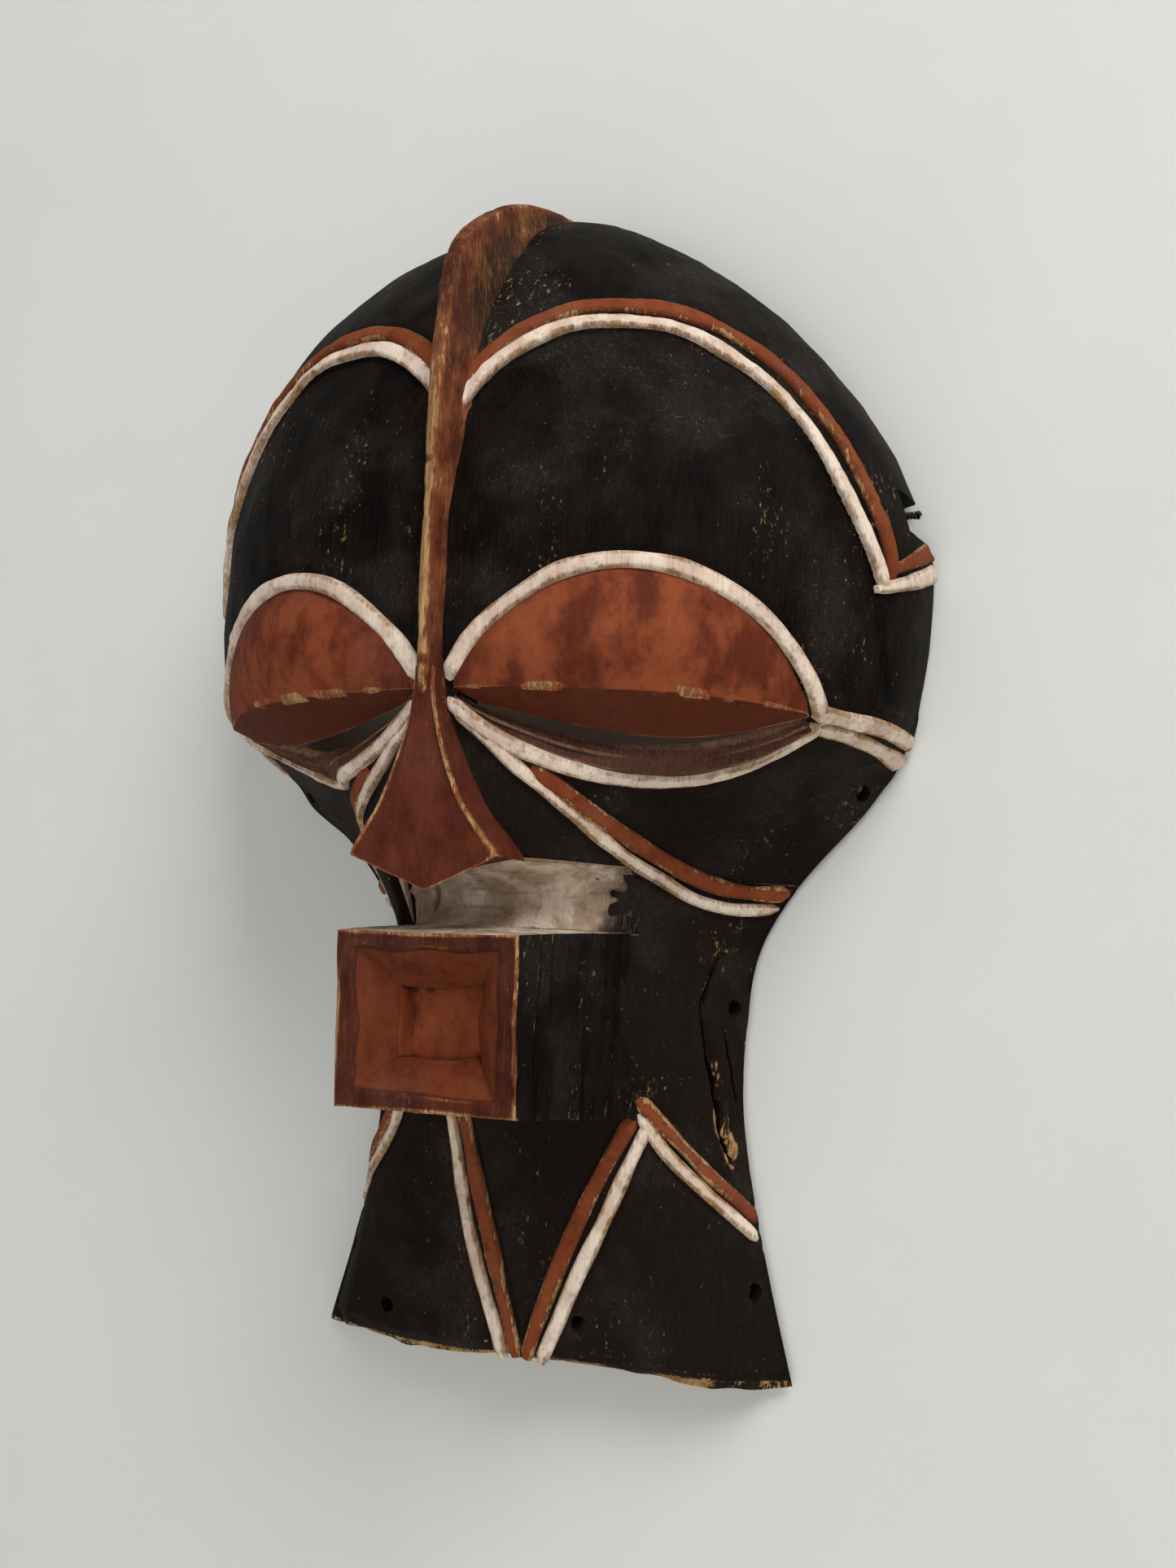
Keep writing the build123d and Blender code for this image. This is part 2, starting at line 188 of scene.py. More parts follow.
wire_iron, nodes = new_material("black_iron_wire")
where = nodes.add("ShaderNodeTexCoord").outputs["Object"]
scale_marks = nodes.ramp(nodes.noise(where, 900.0), 0.45, 0.62)
rust = nodes.ramp(nodes.noise(where, 160.0, detail=5.0), 0.52, 0.7)
dark = nodes.mix(scale_marks, (0.012, 0.011, 0.010), (0.09, 0.085, 0.08))
bump = nodes.add("ShaderNodeBump", {"Height": scale_marks, "Strength": 0.4, "Distance": 0.0001})
iron = nodes.add("ShaderNodeBsdfPrincipled", {
    "Base Color": nodes.mix(rust, dark, (0.07, 0.028, 0.012)),
    "Metallic": nodes.math("SUBTRACT", 0.85, rust, clamp=True),
    "Roughness": nodes.math("MULTIPLY_ADD", rust, 0.4, 0.35),
    "Normal": bump.outputs[0],
})
nodes.add("ShaderNodeOutputMaterial", {"Surface": iron.outputs[0]})


def wire_curve(name, points, thickness):
    curve = bpy.data.curves.new(name, "CURVE")
    curve.dimensions = "3D"
    spline = curve.splines.new("NURBS")
    spline.points.add(len(points) - 1)
    for knot, point in zip(spline.points, place(points)):
        knot.co = (*point, 1)
    spline.order_u = 3
    spline.use_endpoint_u = True
    spline.resolution_u = 10
    curve.bevel_depth = thickness / 2 * MM
    curve.bevel_resolution = 4
    curve.use_fill_caps = True
    curve.materials.append(wire_iron)
    wire = bpy.data.objects.new(name, curve)
    bpy.context.scene.collection.objects.link(wire)
    return wire


NAIL_TOP = HANG_HEIGHT + WIRE_THICKNESS / 2
wire_route = [
    (TIE_LEFT, WIRE_TIE_DEPTH, WIRE_TIE_HEIGHT),
    (-6.0, WIRE_TIE_DEPTH, NAIL_TOP - 1.3),
    (0.0, WIRE_TIE_DEPTH, NAIL_TOP + 0.1),
    (6.0, WIRE_TIE_DEPTH, NAIL_TOP - 1.3),
    (TIE_RIGHT, WIRE_TIE_DEPTH, WIRE_TIE_HEIGHT),
]
hanging_wire = wire_curve("hanging_wire_strand", wire_route, WIRE_THICKNESS)
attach(hanging_wire, "hanger")
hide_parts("hanging_wire")

# ---- Carved block: skull, cheeks and neck ----
# One block of light wood, roughed out with an adze and hollowed from behind.  The skull is a
# dome, fuller on its left; the cheeks fall back to the jaw, and the neck flares to its foot.
WALL = 13.0
RIM_BACK = 0.8   # the worked surfaces end this far out from the wall, where the rim lies flat on it
CROWN_CENTRE, CROWN_RISE, CROWN_DEPTH = 305.0, 156.0, 124.0
CROWN_LEFT, CROWN_RIGHT = 153.0, 148.0
LEFT_ROUNDNESS, RIGHT_ROUNDNESS = 2.2, 1.57
CHIN_LEVEL, EYE_LEVEL = 187.0, 250.0
# Foot to eyes: height, half width, (across, depth) of mid and shoulder points, front depth,
# and the depth of the hollow behind.
LOWER_LEVELS = np.array([
    (0, 101, 85, 14, 45, 23, 26, 13),
    (50, 88, 76, 18, 44, 31, 34, 21),
    (96, 79, 68, 24, 42, 40, 44, 31),
    (134, 79, 66, 32, 42, 58, 64, 46),
    (166, 85, 56, 38, 28, 82, 92, 60),
    (187, 98, 65, 38, 30, 98, 108, 66),
    (219, 126, 68, 66, 45, 100, 113, 86),
    (250, 144, 125, 60, 72, 104, 120, 106),
    (281, 148, 128, 62, 74, 107, 123, 110),
], dtype=float)


def through(at, knots, values):
    """Smooth curve through (knot, value) pairs, read at each of at."""
    knots, values = np.asarray(knots, float), np.asarray(values, float)
    slopes = np.gradient(values, knots)
    at = np.clip(at, knots[0], knots[-1])
    i = np.clip(np.searchsorted(knots, at, side="right") - 1, 0, len(knots) - 2)
    gap = knots[i + 1] - knots[i]
    t = (at - knots[i]) / gap
    rise = values[i + 1] - values[i]
    bend = (slopes[i] * gap - rise) * (1 - t) - (slopes[i + 1] * gap - rise) * t
    return values[i] + t * rise + t * (1 - t) * bend


def step(value, low, high):
    t = np.clip((value - low) / (high - low), 0, 1)
    return t * t * (3 - 2 * t)


def crown_size(height, side):
    """Half width and front depth of the dome at a height; side is +1 right, -1 left."""
    rise = np.clip((height - CROWN_CENTRE) / CROWN_RISE, 0, 1)
    drop = np.clip(CROWN_CENTRE - height, 0, None) ** 2
    right = CROWN_RIGHT * (1 - rise**RIGHT_ROUNDNESS) ** (1 / RIGHT_ROUNDNESS) - 0.0018 * drop
    left = CROWN_LEFT * (1 - rise**LEFT_ROUNDNESS) ** (1 / LEFT_ROUNDNESS) - 0.0022 * drop
    return np.where(side > 0, right, left), CROWN_DEPTH * np.sqrt(1 - rise**2) - 0.0012 * drop


def jaw_pinch(height, side):
    """How much nearer the middle the jaw's rim is on the left than on the right."""
    return 8 * step(height, 120, 165) * (1 - step(height, 203, 222)) * (np.asarray(side) < 0)


def half_width(height, side):
    """Distance of the rim from the middle."""
    lower = through(height, LOWER_LEVELS[:, 0], LOWER_LEVELS[:, 1]) - jaw_pinch(height, side)
    upper, _ = crown_size(height, side)
    blend = step(height, 222, 256)
    return lower * (1 - blend) + upper * blend


def section_depth(across, width, mid_x, mid_y, shoulder_x, shoulder_y, front):
    """Depth of the lower face at a distance across: a flat front, then a slope to the rim."""
    first = (shoulder_y - front) / shoulder_x
    second = (mid_y - shoulder_y) / (mid_x - shoulder_x)
    third = -mid_y / (width - mid_x)
    at_shoulder = 2 * first * second / (first + second)
    at_mid = 2 * second * third / (second + third)
    pieces = (
        (0, shoulder_x, front, shoulder_y, 0 * front, at_shoulder),
        (shoulder_x, mid_x, shoulder_y, mid_y, at_shoulder, at_mid),
        (mid_x, width, mid_y, 0 * front, at_mid, third),
    )
    depth = 0 * front
    for low, high, start, end, leave, arrive in pieces:
        gap = high - low
        t = np.clip((across - low) / gap, 0, 1)
        rise = end - start
        bend = (leave * gap - rise) * (1 - t) - (arrive * gap - rise) * t
        inside = (across >= low) if high is width else (across >= low) & (across < high)
        depth = np.where(inside, start + t * rise + t * (1 - t) * bend, depth)
    return depth


def form_depth(x, height):
    """Depth of the block's front before any relief is carved in it."""
    x, height = np.broadcast_arrays(np.asarray(x, float), np.asarray(height, float))
    width, front = crown_size(height, x)
    reach = np.clip(np.abs(x) / np.maximum(width, 1e-6), 0, 1)
    dome = front * (1 - reach**2.1) ** (1 / 2.1)
    columns = [through(height, LOWER_LEVELS[:, 0], column) for column in LOWER_LEVELS.T[1:7]]
    rim = half_width(height, x)
    lower = section_depth(np.minimum(np.abs(x), rim), rim, *columns[1:])
    blend = step(height, 226, 256)
    return lower * (1 - blend) + dome * blend


LIP_LOW, LIP_HIGH, LIP_DEPTH, LIP_LEFT, LIP_RIGHT = 164.0, 188.5, 76.0, -21.0, 50.0


def block_depth(x, height):
    """Depth of the block's front with the scoop of the upper lip carved in.  The scoop stops
    short on the left and runs out over the shoulder of the jaw on the right."""
    depth = form_depth(x, height)
    middle, half = (LIP_LOW + LIP_HIGH) / 2, (LIP_HIGH - LIP_LOW) / 2
    hollow = 1 - np.clip(np.abs(height - middle) / half, 0, 1) ** 2.6
    end = step(x, LIP_LEFT - 9, LIP_LEFT + 4) * (1 - step(x, LIP_RIGHT - 7, LIP_RIGHT + 4))
    floor = LIP_DEPTH - 0.95 * np.clip(x - 24, 0, None)
    return depth - np.clip(depth - floor, 0, None) * hollow * end


def hollow_depth(x, height):
    """Depth of the hollow behind a point of the front, without its tool marks."""
    front, back = (through(height, LOWER_LEVELS[:, 0], LOWER_LEVELS[:, i]) for i in (6, 7))
    return form_depth(x, height) * back / front


def surface(x, height):
    """Points and outward directions on the block's front, as (across, depth, height)."""
    depth = block_depth(x, height)
    gap = 0.4
    slope_x = (form_depth(x + gap, height) - form_depth(x - gap, height)) / (2 * gap)
    slope_z = (form_depth(x, height + gap) - form_depth(x, height - gap)) / (2 * gap)
    out = np.stack([-slope_x, np.ones_like(depth), -slope_z], axis=-1)
    out /= np.linalg.norm(out, axis=-1, keepdims=True)
    return np.stack([x + 0 * depth, depth, height + 0 * depth], axis=-1), out


def lattice_noise(points, size, seed):
    """Smooth random field from -1 to 1 whose lumps are about size across."""
    table = np.random.default_rng(seed).uniform(-1, 1, 4096)
    cell = np.asarray(points, float) / size
    base = np.floor(cell).astype(np.int64)
    t = cell - base
    t = t * t * (3 - 2 * t)
    total = np.zeros(cell.shape[:-1])
    for corner in np.ndindex(2, 2, 2):
        index = base + np.array(corner)
        mixed = index[..., 0] * 73856093 ^ index[..., 1] * 19349663 ^ index[..., 2] * 83492791
        weight = np.prod(np.where(np.array(corner) == 1, t, 1 - t), axis=-1)
        total += weight * table[mixed % 4096]
    return total


def adze_marks(u, v, size_u, size_v, seed):
    """Shallow scallops: 0 in the middle of each cut, 1 on the ridges between cuts."""
    grid_u, grid_v = u / size_u, v / size_v
    nearest = np.full(u.shape, 9.0)
    for du in (-1, 0, 1):
        for dv in (-1, 0, 1):
            cell_u, cell_v = np.floor(grid_u) + du, np.floor(grid_v) + dv
            turn = np.sin(cell_u * 127.1 + cell_v * 311.7 + seed) * 43758.5
            centre_u = cell_u + 0.5 + 0.38 * np.sin(turn)
            centre_v = cell_v + 0.5 + 0.38 * np.cos(turn * 1.7)
            nearest = np.minimum(nearest, (grid_u - centre_u) ** 2 + (grid_v - centre_v) ** 2)
    return np.clip(nearest, 0, 1)


# Painted ribs stand on these lines: (across, height) on the viewer's right, mirrored on the left.
EYE_RIM_UPPER = [
    (5, 249.5), (13.5, 261.4), (28.3, 274.9), (46.4, 285.9), (68.7, 290.1), (89.8, 286.1), (106.2, 275.5),
    (117.1, 260.7), (121.6, 249), (122, 243),
]
EYE_RIM_LOWER = [
    (5, 243), (17.3, 233.1), (30.8, 225.2), (43.8, 220.3), (54.4, 218.6), (64, 219.2), (75.7, 221.3),
    (89.1, 225.8), (104.4, 232.2), (116, 238), (121.5, 241.5),
]
BROW_WHITE = [
    (1, 346.5), (10, 359.5), (25, 373), (38, 380), (54, 382), (77, 379.5), (99, 366), (118, 344), (131, 320),
    (138, 301), (140, 291.5),
]
BROW_RED = [
    (1, 353.5), (10, 367), (24, 380), (38, 387), (54, 389.5), (76, 387.5), (99, 375), (119.5, 353), (134, 326),
    (141, 304.5), (141.5, 295.5),
]
CHEEK_WHITE = [
    (6.9, 238.8), (16.9, 230.3), (26.2, 221.2), (42.1, 206.4), (49.6, 196.6), (57.2, 187.4), (66.5, 180),
    (75.7, 177.4), (85.6, 177.8), (90.5, 178.3),
]
CHEEK_RED = [
    (32.4, 220), (42.9, 212), (50.5, 203.1), (58.3, 194.6), (67.7, 187.7), (76.6, 184), (86.4, 183.3),
    (94.5, 184),
]
THROAT_WHITE = {
    "right": [(53.5, 97), (41.4, 71.1), (27.9, 43.4), (11.7, 9.7), (9, 3)],
    "left": [(-26.8, 97), (-24.2, 73.8), (-18.2, 42.7), (-8.2, 7.2), (-7.2, 3)],
}
THROAT_RED = {
    "right": [(48.3, 98.5), (35.2, 76.7), (21.5, 49), (4.8, 9.9), (2.6, 4)],
    "left": [(-21.2, 97), (-17.2, 74.5), (-9.7, 41.6), (-2.4, 8), (-1.6, 4)],
}
NECK_RED = [(50.1, 105.2), (60.7, 92.3), (74.1, 75.3), (85, 60.3)]
NECK_WHITE = [(50.6, 100.1), (57.1, 88.2), (67.7, 75.4), (77.6, 64.3), (86.3, 53.3)]
BOTH_SIDES = ((1, "right"), (-1, "left"))


def smooth_line(points, count):
    """Evenly spaced points along a smooth curve through points."""
    points = np.asarray(points, float)
    run = np.r_[0, np.cumsum(np.linalg.norm(np.diff(points, axis=0), axis=1))]
    fine = np.linspace(0, run[-1], 400)
    curve = np.stack([through(fine, run, column) for column in points.T], axis=1)
    run = np.r_[0, np.cumsum(np.linalg.norm(np.diff(curve, axis=0), axis=1))]
    even = np.linspace(0, run[-1], count)
    return np.stack([np.interp(even, run, column) for column in curve.T], axis=1)


def line_distance(points, line):
    """Least distance from each point to a line given as close points."""
    best = np.full(len(points), 1e9)
    for spot in line:
        best = np.minimum(best, np.sum((points - spot) ** 2, axis=1))
    return np.sqrt(best)


def mirrored(line, side):
    """A line given for the right side, brought to a side and drawn in with the jaw on the left."""
    x, height = np.asarray(line, float).T
    rim = half_width(height, 1)
    x = side * np.minimum(x * (rim - jaw_pinch(height, side)) / rim, half_width(height, side) - 0.2)
    return x, height


def on_block(line, side=1):
    points, _ = surface(*mirrored(line, side))
    return points


PAIRED_RIBS = (
    EYE_RIM_UPPER, EYE_RIM_LOWER, BROW_WHITE, BROW_RED, CHEEK_WHITE, CHEEK_RED, NECK_RED, NECK_WHITE,
)
rib_lines = [on_block(smooth_line(line, 60), side) for line in PAIRED_RIBS for side, _ in BOTH_SIDES]
for line in (*THROAT_WHITE.values(), *THROAT_RED.values()):
    rib_lines.append(surface(*smooth_line(line, 60).T)[0])

# Neck splits on the right, where the wood has opened along the grain: (across, height).
SPLIT = [(72.5, 158), (69.5, 147), (70, 136), (71, 124), (73, 106), (75, 91), (78, 82)]
SIDE_SPLIT = [(73.5, 133), (74.4, 124), (75.6, 113), (76.4, 104)]


def relief(points):
    """How far the carver's tool marks, grooves and damage move the front of the block."""
    x, depth, height = points.T
    move = 0.85 * (adze_marks(x + 0.25 * depth, height + 0.4 * depth, 15, 22, 3.1) - 0.35)
    move += 0.35 * lattice_noise(points, 26.0, 11) + 0.12 * lattice_noise(points * (1, 1, 0.2), 3.2, 12)
    near = np.full(len(points), 1e9)
    for line in rib_lines:
        low, high = line.min(axis=0) - 9, line.max(axis=0) + 9
        close = np.all((points > low) & (points < high), axis=1)
        near[close] = np.minimum(near[close], line_distance(points[close], line))
    move *= 0.25 + 0.75 * step(near, 3, 9)
    move -= 1.1 * np.exp(-((near - 3.4) / 1.3) ** 2)
    brow = np.asarray(smooth_line(BROW_WHITE, 80))
    brow_height = np.interp(np.abs(x), brow[:, 0], brow[:, 1])
    below = np.where(np.abs(x) < 139, brow_height - height, -1)
    move -= 1.7 * step(below, 1.5, 4) * (1 - step(below, 18, 60)) * (height > EYE_LEVEL)
    split = on_block(smooth_line(SPLIT, 70))
    close = np.all((points > split.min(axis=0) - 8) & (points < split.max(axis=0) + 8), axis=1)
    gap = line_distance(points[close], split) + 0.6 * lattice_noise(points[close], 4.0, 21)
    move[close] -= 3.5 * np.exp(-((gap / 2.2) ** 2))
    return move


def curvature(points, faces, out):
    """Edge sharpness at each vertex: positive on ridges, negative in creases, per millimetre."""
    pairs = np.concatenate([faces[:, [0, 1]], faces[:, [1, 2]], faces[:, [2, 3]], faces[:, [3, 0]]])
    pairs = np.concatenate([pairs, pairs[:, ::-1]])
    count = np.bincount(pairs[:, 0], minlength=len(points)).astype(float)
    offset = points[pairs[:, 1]] - points[pairs[:, 0]]
    length = np.linalg.norm(offset, axis=1) + 1e-6
    lean = -np.einsum("ij,ij->i", offset, out[pairs[:, 0]]) / length**2
    sharp = np.bincount(pairs[:, 0], lean, minlength=len(points)) / np.maximum(count, 1)
    for _ in range(2):
        around = np.bincount(pairs[:, 0], sharp[pairs[:, 1]], minlength=len(points))
        sharp = 0.5 * sharp + 0.5 * around / np.maximum(count, 1)
    return sharp


def vertex_normals(points, faces):
    a, b, c, d = (points[faces[:, i]] for i in range(4))
    normal = np.cross(c - a, d - b)
    total = np.zeros_like(points)
    for i in range(4):
        np.add.at(total, faces[:, i], normal)
    return total / (np.linalg.norm(total, axis=1, keepdims=True) + 1e-12)


def carved_piece(name, points, faces, material, node=None, slot=None, finish=None, shade=None, rubbed=0.0):
    """Closed mesh piece from points in carver's millimetres and quads, with its edge-wear marks.
    finish is the material number of each face, shade how far each point takes its material's shaded
    colour, and rubbed what is added to its edge wear. The shaded colour is painted shade on the
    eyelids, the crest's flanks and the mouth recess, the black paint that the lip's clay gives way to,
    and a browner black low on the shells."""
    faces = np.asarray(faces)
    metres = place(points)
    a, b, c, d = (metres[faces[:, i]] for i in range(4))
    volume = np.sum(a * (np.cross(b, c) + np.cross(c, d)))
    if volume < 0:
        faces = faces[:, ::-1]
    mesh = bpy.data.meshes.new(name)
    mesh.from_pydata(metres.tolist(), [], [list(dict.fromkeys(face)) for face in faces.tolist()])
    mesh.polygons.foreach_set("use_smooth", np.ones(len(mesh.polygons), bool))
    out = vertex_normals(metres / MM, faces)
    edge = mesh.attributes.new("edge", "FLOAT", "POINT")
    edge.data.foreach_set("value", curvature(metres / MM, faces, out) + rubbed)
    if shade is not None:
        mesh.attributes.new("shade", "FLOAT", "POINT").data.foreach_set("value", np.ravel(shade))
    for coat in material if isinstance(material, tuple) else (material,):
        mesh.materials.append(coat)
    if finish is not None:
        mesh.polygons.foreach_set("material_index", np.asarray(finish, dtype=np.int32))
    mesh.validate()
    mesh.set_sharp_from_angle(angle=math.radians(55))
    piece = bpy.data.objects.new(name, mesh)
    bpy.context.scene.collection.objects.link(piece)
    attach(piece, "carved_block")
    if node:
        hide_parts(node)
    return piece


def strip_faces(rows, columns, around=False):
    """Quads of a grid of rows x columns; around joins the last column to the first."""
    index = np.arange(rows * columns).reshape(rows, columns)
    if around:
        index = np.concatenate([index, index[:, :1]], axis=1)
    return np.stack([index[:-1, :-1], index[:-1, 1:], index[1:, 1:], index[1:, :-1]], axis=-1).reshape(-1, 4)


def closed_tube(rings):
    """Points and faces of a piece made of rows of rings, closed at both ends."""
    rows, count = rings.shape[:2]
    last = (rows - 1) * count
    near = [[0, j, j + 1, j + 1] for j in range(1, count - 1)]
    far = [[last, last + j + 1, last + j, last + j] for j in range(1, count - 1)]
    return rings.reshape(-1, 3), np.concatenate([strip_faces(rows, count, around=True), near, far])


def block_rows():
    """Ring heights: close together at the lip's ledges, and evenly spaced over the dome."""
    low = np.arange(2.0, 10.0, 1.0)
    neck = np.arange(10.0, LIP_LOW - 3, 1.5)
    ledges = np.concatenate([
        np.arange(LIP_LOW - 3, LIP_LOW + 6, 0.6), np.arange(LIP_LOW + 6, LIP_HIGH - 6, 1.2),
        np.arange(LIP_HIGH - 6, CHIN_LEVEL, 0.6),
    ])
    cheeks = np.arange(CHIN_LEVEL, EYE_LEVEL, 1.4)
    flank = np.arange(EYE_LEVEL, CROWN_CENTRE, 1.6)
    dome = CROWN_CENTRE + CROWN_RISE * np.sin(np.linspace(0, 1, 150) * math.radians(88.5))
    return np.concatenate([low, neck, ledges, cheeks, flank, dome])


def keep_outward(points, faces):
    """Vertex directions that point out of the front of a grid."""
    out = vertex_normals(points, faces)
    return out if out[:, 1].mean() > 0 else -out


COLUMNS = 250
rows = block_rows()
spread = np.linspace(-1, 1, COLUMNS + 1)
height = np.repeat(rows[:, None], COLUMNS + 1, axis=1)
side = np.where(spread < 0, -1.0, 1.0)[None, :] + 0 * height
roundness = step(height, 215, 256)
reach = (1 - roundness) * spread + roundness * np.sin(spread * math.pi / 2)
rim = half_width(height, side)
across = rim * reach
front = np.stack([across, np.maximum(block_depth(across, height), RIM_BACK), height], axis=-1)
grid = strip_faces(len(rows), COLUMNS + 1)
flat_front = front.reshape(-1, 3)
move = relief(flat_front) - 0.7 * np.clip(8 - flat_front[:, 2], 0, None)
flat_front += keep_outward(flat_front, grid) * move[:, None]
foot = 1.6 * lattice_noise(flat_front * (1, 0, 0), 40.0, 31)
foot += 1.2 * lattice_noise(flat_front * (1, 0, 0), 9.0, 32)
flat_front[:, 2] += foot * (1 - step(flat_front[:, 2], 4, 30))
flat_front[:, 1] = np.maximum(flat_front[:, 1], RIM_BACK)
front = flat_front.reshape(front.shape)

above = np.clip(height - CROWN_CENTRE, 0, None)
hollow_height = np.minimum(height, CROWN_CENTRE) + above * (CROWN_RISE - WALL) / CROWN_RISE
scale_across = np.where(height > CROWN_CENTRE, 1 - WALL / CROWN_RIGHT, 1 - WALL / rim)
hollow = np.stack([
    across * scale_across, np.maximum(hollow_depth(across, height), RIM_BACK), hollow_height,
], axis=-1).reshape(-1, 3)
gouges = adze_marks(hollow[:, 0], hollow[:, 2] + 0.5 * hollow[:, 1], 11, 20, 7.7)
hollow -= keep_outward(hollow, grid) * (1.3 * gouges + 0.8 * lattice_noise(hollow, 18.0, 41))[:, None]
hollow[:, 1] = np.maximum(hollow[:, 1], RIM_BACK)
hollow = hollow.reshape(front.shape)[:, ::-1]
rim_right = (front[:, -1:] + hollow[:, :1]) / 2 * (1, 0, 1)
rim_left = (front[:, :1] + hollow[:, -1:]) / 2 * (1, 0, 1)
loops = np.concatenate([front, rim_right, hollow, rim_left], axis=1)
LOOP = loops.shape[1]


def tube_caps(rows, loop):
    """Faces that close the first and last rings of a hollow-walled shell."""
    last = (loop - 2) // 2 - 1
    outer = np.arange(last)
    inner = loop - 2 - outer
    faces = [np.stack([outer, outer + 1, inner - 1, inner], axis=1)]
    faces.append([[last, last + 1, last + 2, last + 2], [0, loop - 2, loop - 1, loop - 1]])
    first = np.concatenate(faces)
    return np.concatenate([first[:, ::-1], first + (rows - 1) * loop])


def shell(name, low, high, material, slot):
    """Closed shell between two ring heights of the block, in its own piece."""
    start, stop = np.searchsorted(rows, (low - 0.01, high - 0.01))
    part = loops[start:stop + 1]
    caps = tube_caps(len(part), LOOP)
    body = strip_faces(len(part), LOOP, around=True)
    around = np.arange(len(body)) % LOOP
    inside = (around > COLUMNS + 1) & (around < LOOP - 2)
    points = part.reshape(-1, 3)
    beside = np.exp(-(((line_distance(points, on_block(smooth_line(SPLIT, 50))) - 2) / 2.4) ** 2))
    torn = step(lattice_noise(points * (1, 1, 0.35), 5.0, 23), 0, 0.4) * beside
    return carved_piece(
        name, points, np.concatenate([body, caps]), (material, hollow_wood),
        node=name.replace("_carving", ""), slot=slot, finish=np.r_[inside, np.zeros(len(caps), bool)],
        # Towards the bottom the black turns browner and a little lighter.
        shade=step(points[:, 2], 285, 205),
        rubbed=0.3 * np.exp(-np.clip(points[:, 2] - 2.5, 0, None) / 1.5) + 0.3 * torn,
    )


def prism(name, ends):
    """Closed cutter between two matching rings of points."""
    count = len(ends[0])
    ring = np.arange(count)
    faces = [[i, (i + 1) % count, (i + 1) % count + count, i + count] for i in ring]
    mesh = bpy.data.meshes.new(name)
    faces += [ring[::-1].tolist(), (ring + count).tolist()]
    mesh.from_pydata(place(np.concatenate(ends)).tolist(), [], faces)
    form = bmesh.new()
    form.from_mesh(mesh)
    bmesh.ops.recalc_face_normals(form, faces=form.faces)
    form.to_mesh(mesh)
    form.free()
    cutter = bpy.data.objects.new(name, mesh)
    bpy.context.scene.collection.objects.link(cutter)
    return cutter


def outline_cutter(name, outline, near, far):
    """Prism through the wood: an outline of (across, height) from depth near to depth far."""
    outline = np.asarray(outline, float)
    return prism(name, [np.insert(outline, 1, depth, axis=1) for depth in (near, far)])


def cut_out(piece, cutters):
    """Takes the cutters away from a piece and deletes them."""
    for cutter in cutters:
        tool = piece.modifiers.new("cut", "BOOLEAN")
        tool.operation, tool.solver, tool.object = "DIFFERENCE", "EXACT", cutter
    ready = piece.evaluated_get(bpy.context.evaluated_depsgraph_get())
    cut = bpy.data.meshes.new_from_object(ready)
    piece.modifiers.clear()
    old, piece.data = piece.data, cut
    bpy.data.meshes.remove(old)
    for cutter in cutters:
        bpy.data.objects.remove(cutter)
    cut.set_sharp_from_angle(angle=math.radians(55))


def drilled(across, height, radius=3.2):
    """Tie hole burnt through square to the surface, a little out of round."""
    (centre,), (out,) = surface(np.array([across]), np.array([height]))
    level = np.cross(out, (0, 0, 1))
    level /= np.linalg.norm(level)
    rise = np.cross(level, out)
    turn = np.linspace(0, 2 * math.pi, 18, endpoint=False)
    size = radius * (1 + 0.08 * np.sin(2 * turn + across) + 0.05 * np.cos(3 * turn))
    ring = centre + (size * np.cos(turn))[:, None] * level + (size * np.sin(turn))[:, None] * rise
    return prism("drill", [ring - 34 * out, ring + 12 * out])


def crack(line, width, seed):
    """Narrow ragged opening cut square to the surface along a line."""
    points, out = surface(*smooth_line(line, 44).T)
    level = np.cross(out, (0, 0, 1))
    level /= np.linalg.norm(level, axis=1, keepdims=True)
    run = np.linspace(0, 1, 44)
    sway = 1.3 * lattice_noise(points, 7.0, seed)
    gape = width / 2 * np.sin(math.pi * run) ** 0.6 * (1 + 0.7 * lattice_noise(points, 9.0, seed + 1)) + 0.12
    edges = [points + (sway + half)[:, None] * level for half in (gape, -gape)]
    ring = np.concatenate([edges[0], edges[1][::-1]])
    out = np.concatenate([out, out[::-1]])
    return prism("crack", [ring - 9 * out, ring + 6 * out])


# The wood is cut away from the lower lid's edge up to the eyelids: (across, height) of that edge.
LOWER_LID_FOOT = [
    (9, 240), (17.5, 233.6), (31, 226), (44, 221.2), (55, 219.4), (65, 219.9), (76.5, 222), (90, 226.4),
    (105.5, 232.6), (117, 238.4),
]


def eye_slit(side):
    foot = smooth_line(LOWER_LID_FOOT, 40) + (0, 0.4)
    top = [(117, EYE_LEVEL + 1), (9, EYE_LEVEL + 1)]
    return outline_cutter("slit", np.concatenate([foot, top]) * (side, 1), 20, 140)


def rim_notch(side):
    """Ragged notch where the tie hole of the wire has broken out through the rim."""
    edge = CROWN_RIGHT if side > 0 else CROWN_LEFT
    outline = [
        (9, 347), (-4, 341), (-8, 335), (-24, 331.5), (-25, 326), (-24, 320.5), (-11, 321), (-3, 317.5), (9, 318),
    ]
    return outline_cutter("notch", [(side * (edge + x), z) for x, z in outline], -2, 24)


def shader_group(name, inputs, outputs):
    """Node group, its Nodes helper and its ends.  Inputs are given with their values, None for a
    vector; the outputs are floats, apart from Colour."""
    tree = bpy.data.node_groups.new(name, "ShaderNodeTree")
    for socket, value in inputs.items():
        kind = "NodeSocketVector" if value is None else "NodeSocketFloat"
        made = tree.interface.new_socket(socket, in_out="INPUT", socket_type=kind)
        if value is not None:
            made.default_value = value
    for socket in outputs:
        kind = "NodeSocketColor" if socket == "Colour" else "NodeSocketFloat"
        tree.interface.new_socket(socket, in_out="OUTPUT", socket_type=kind)
    helper = Nodes(tree)
    return tree, helper, helper.add("NodeGroupInput").outputs, helper.add("NodeGroupOutput")


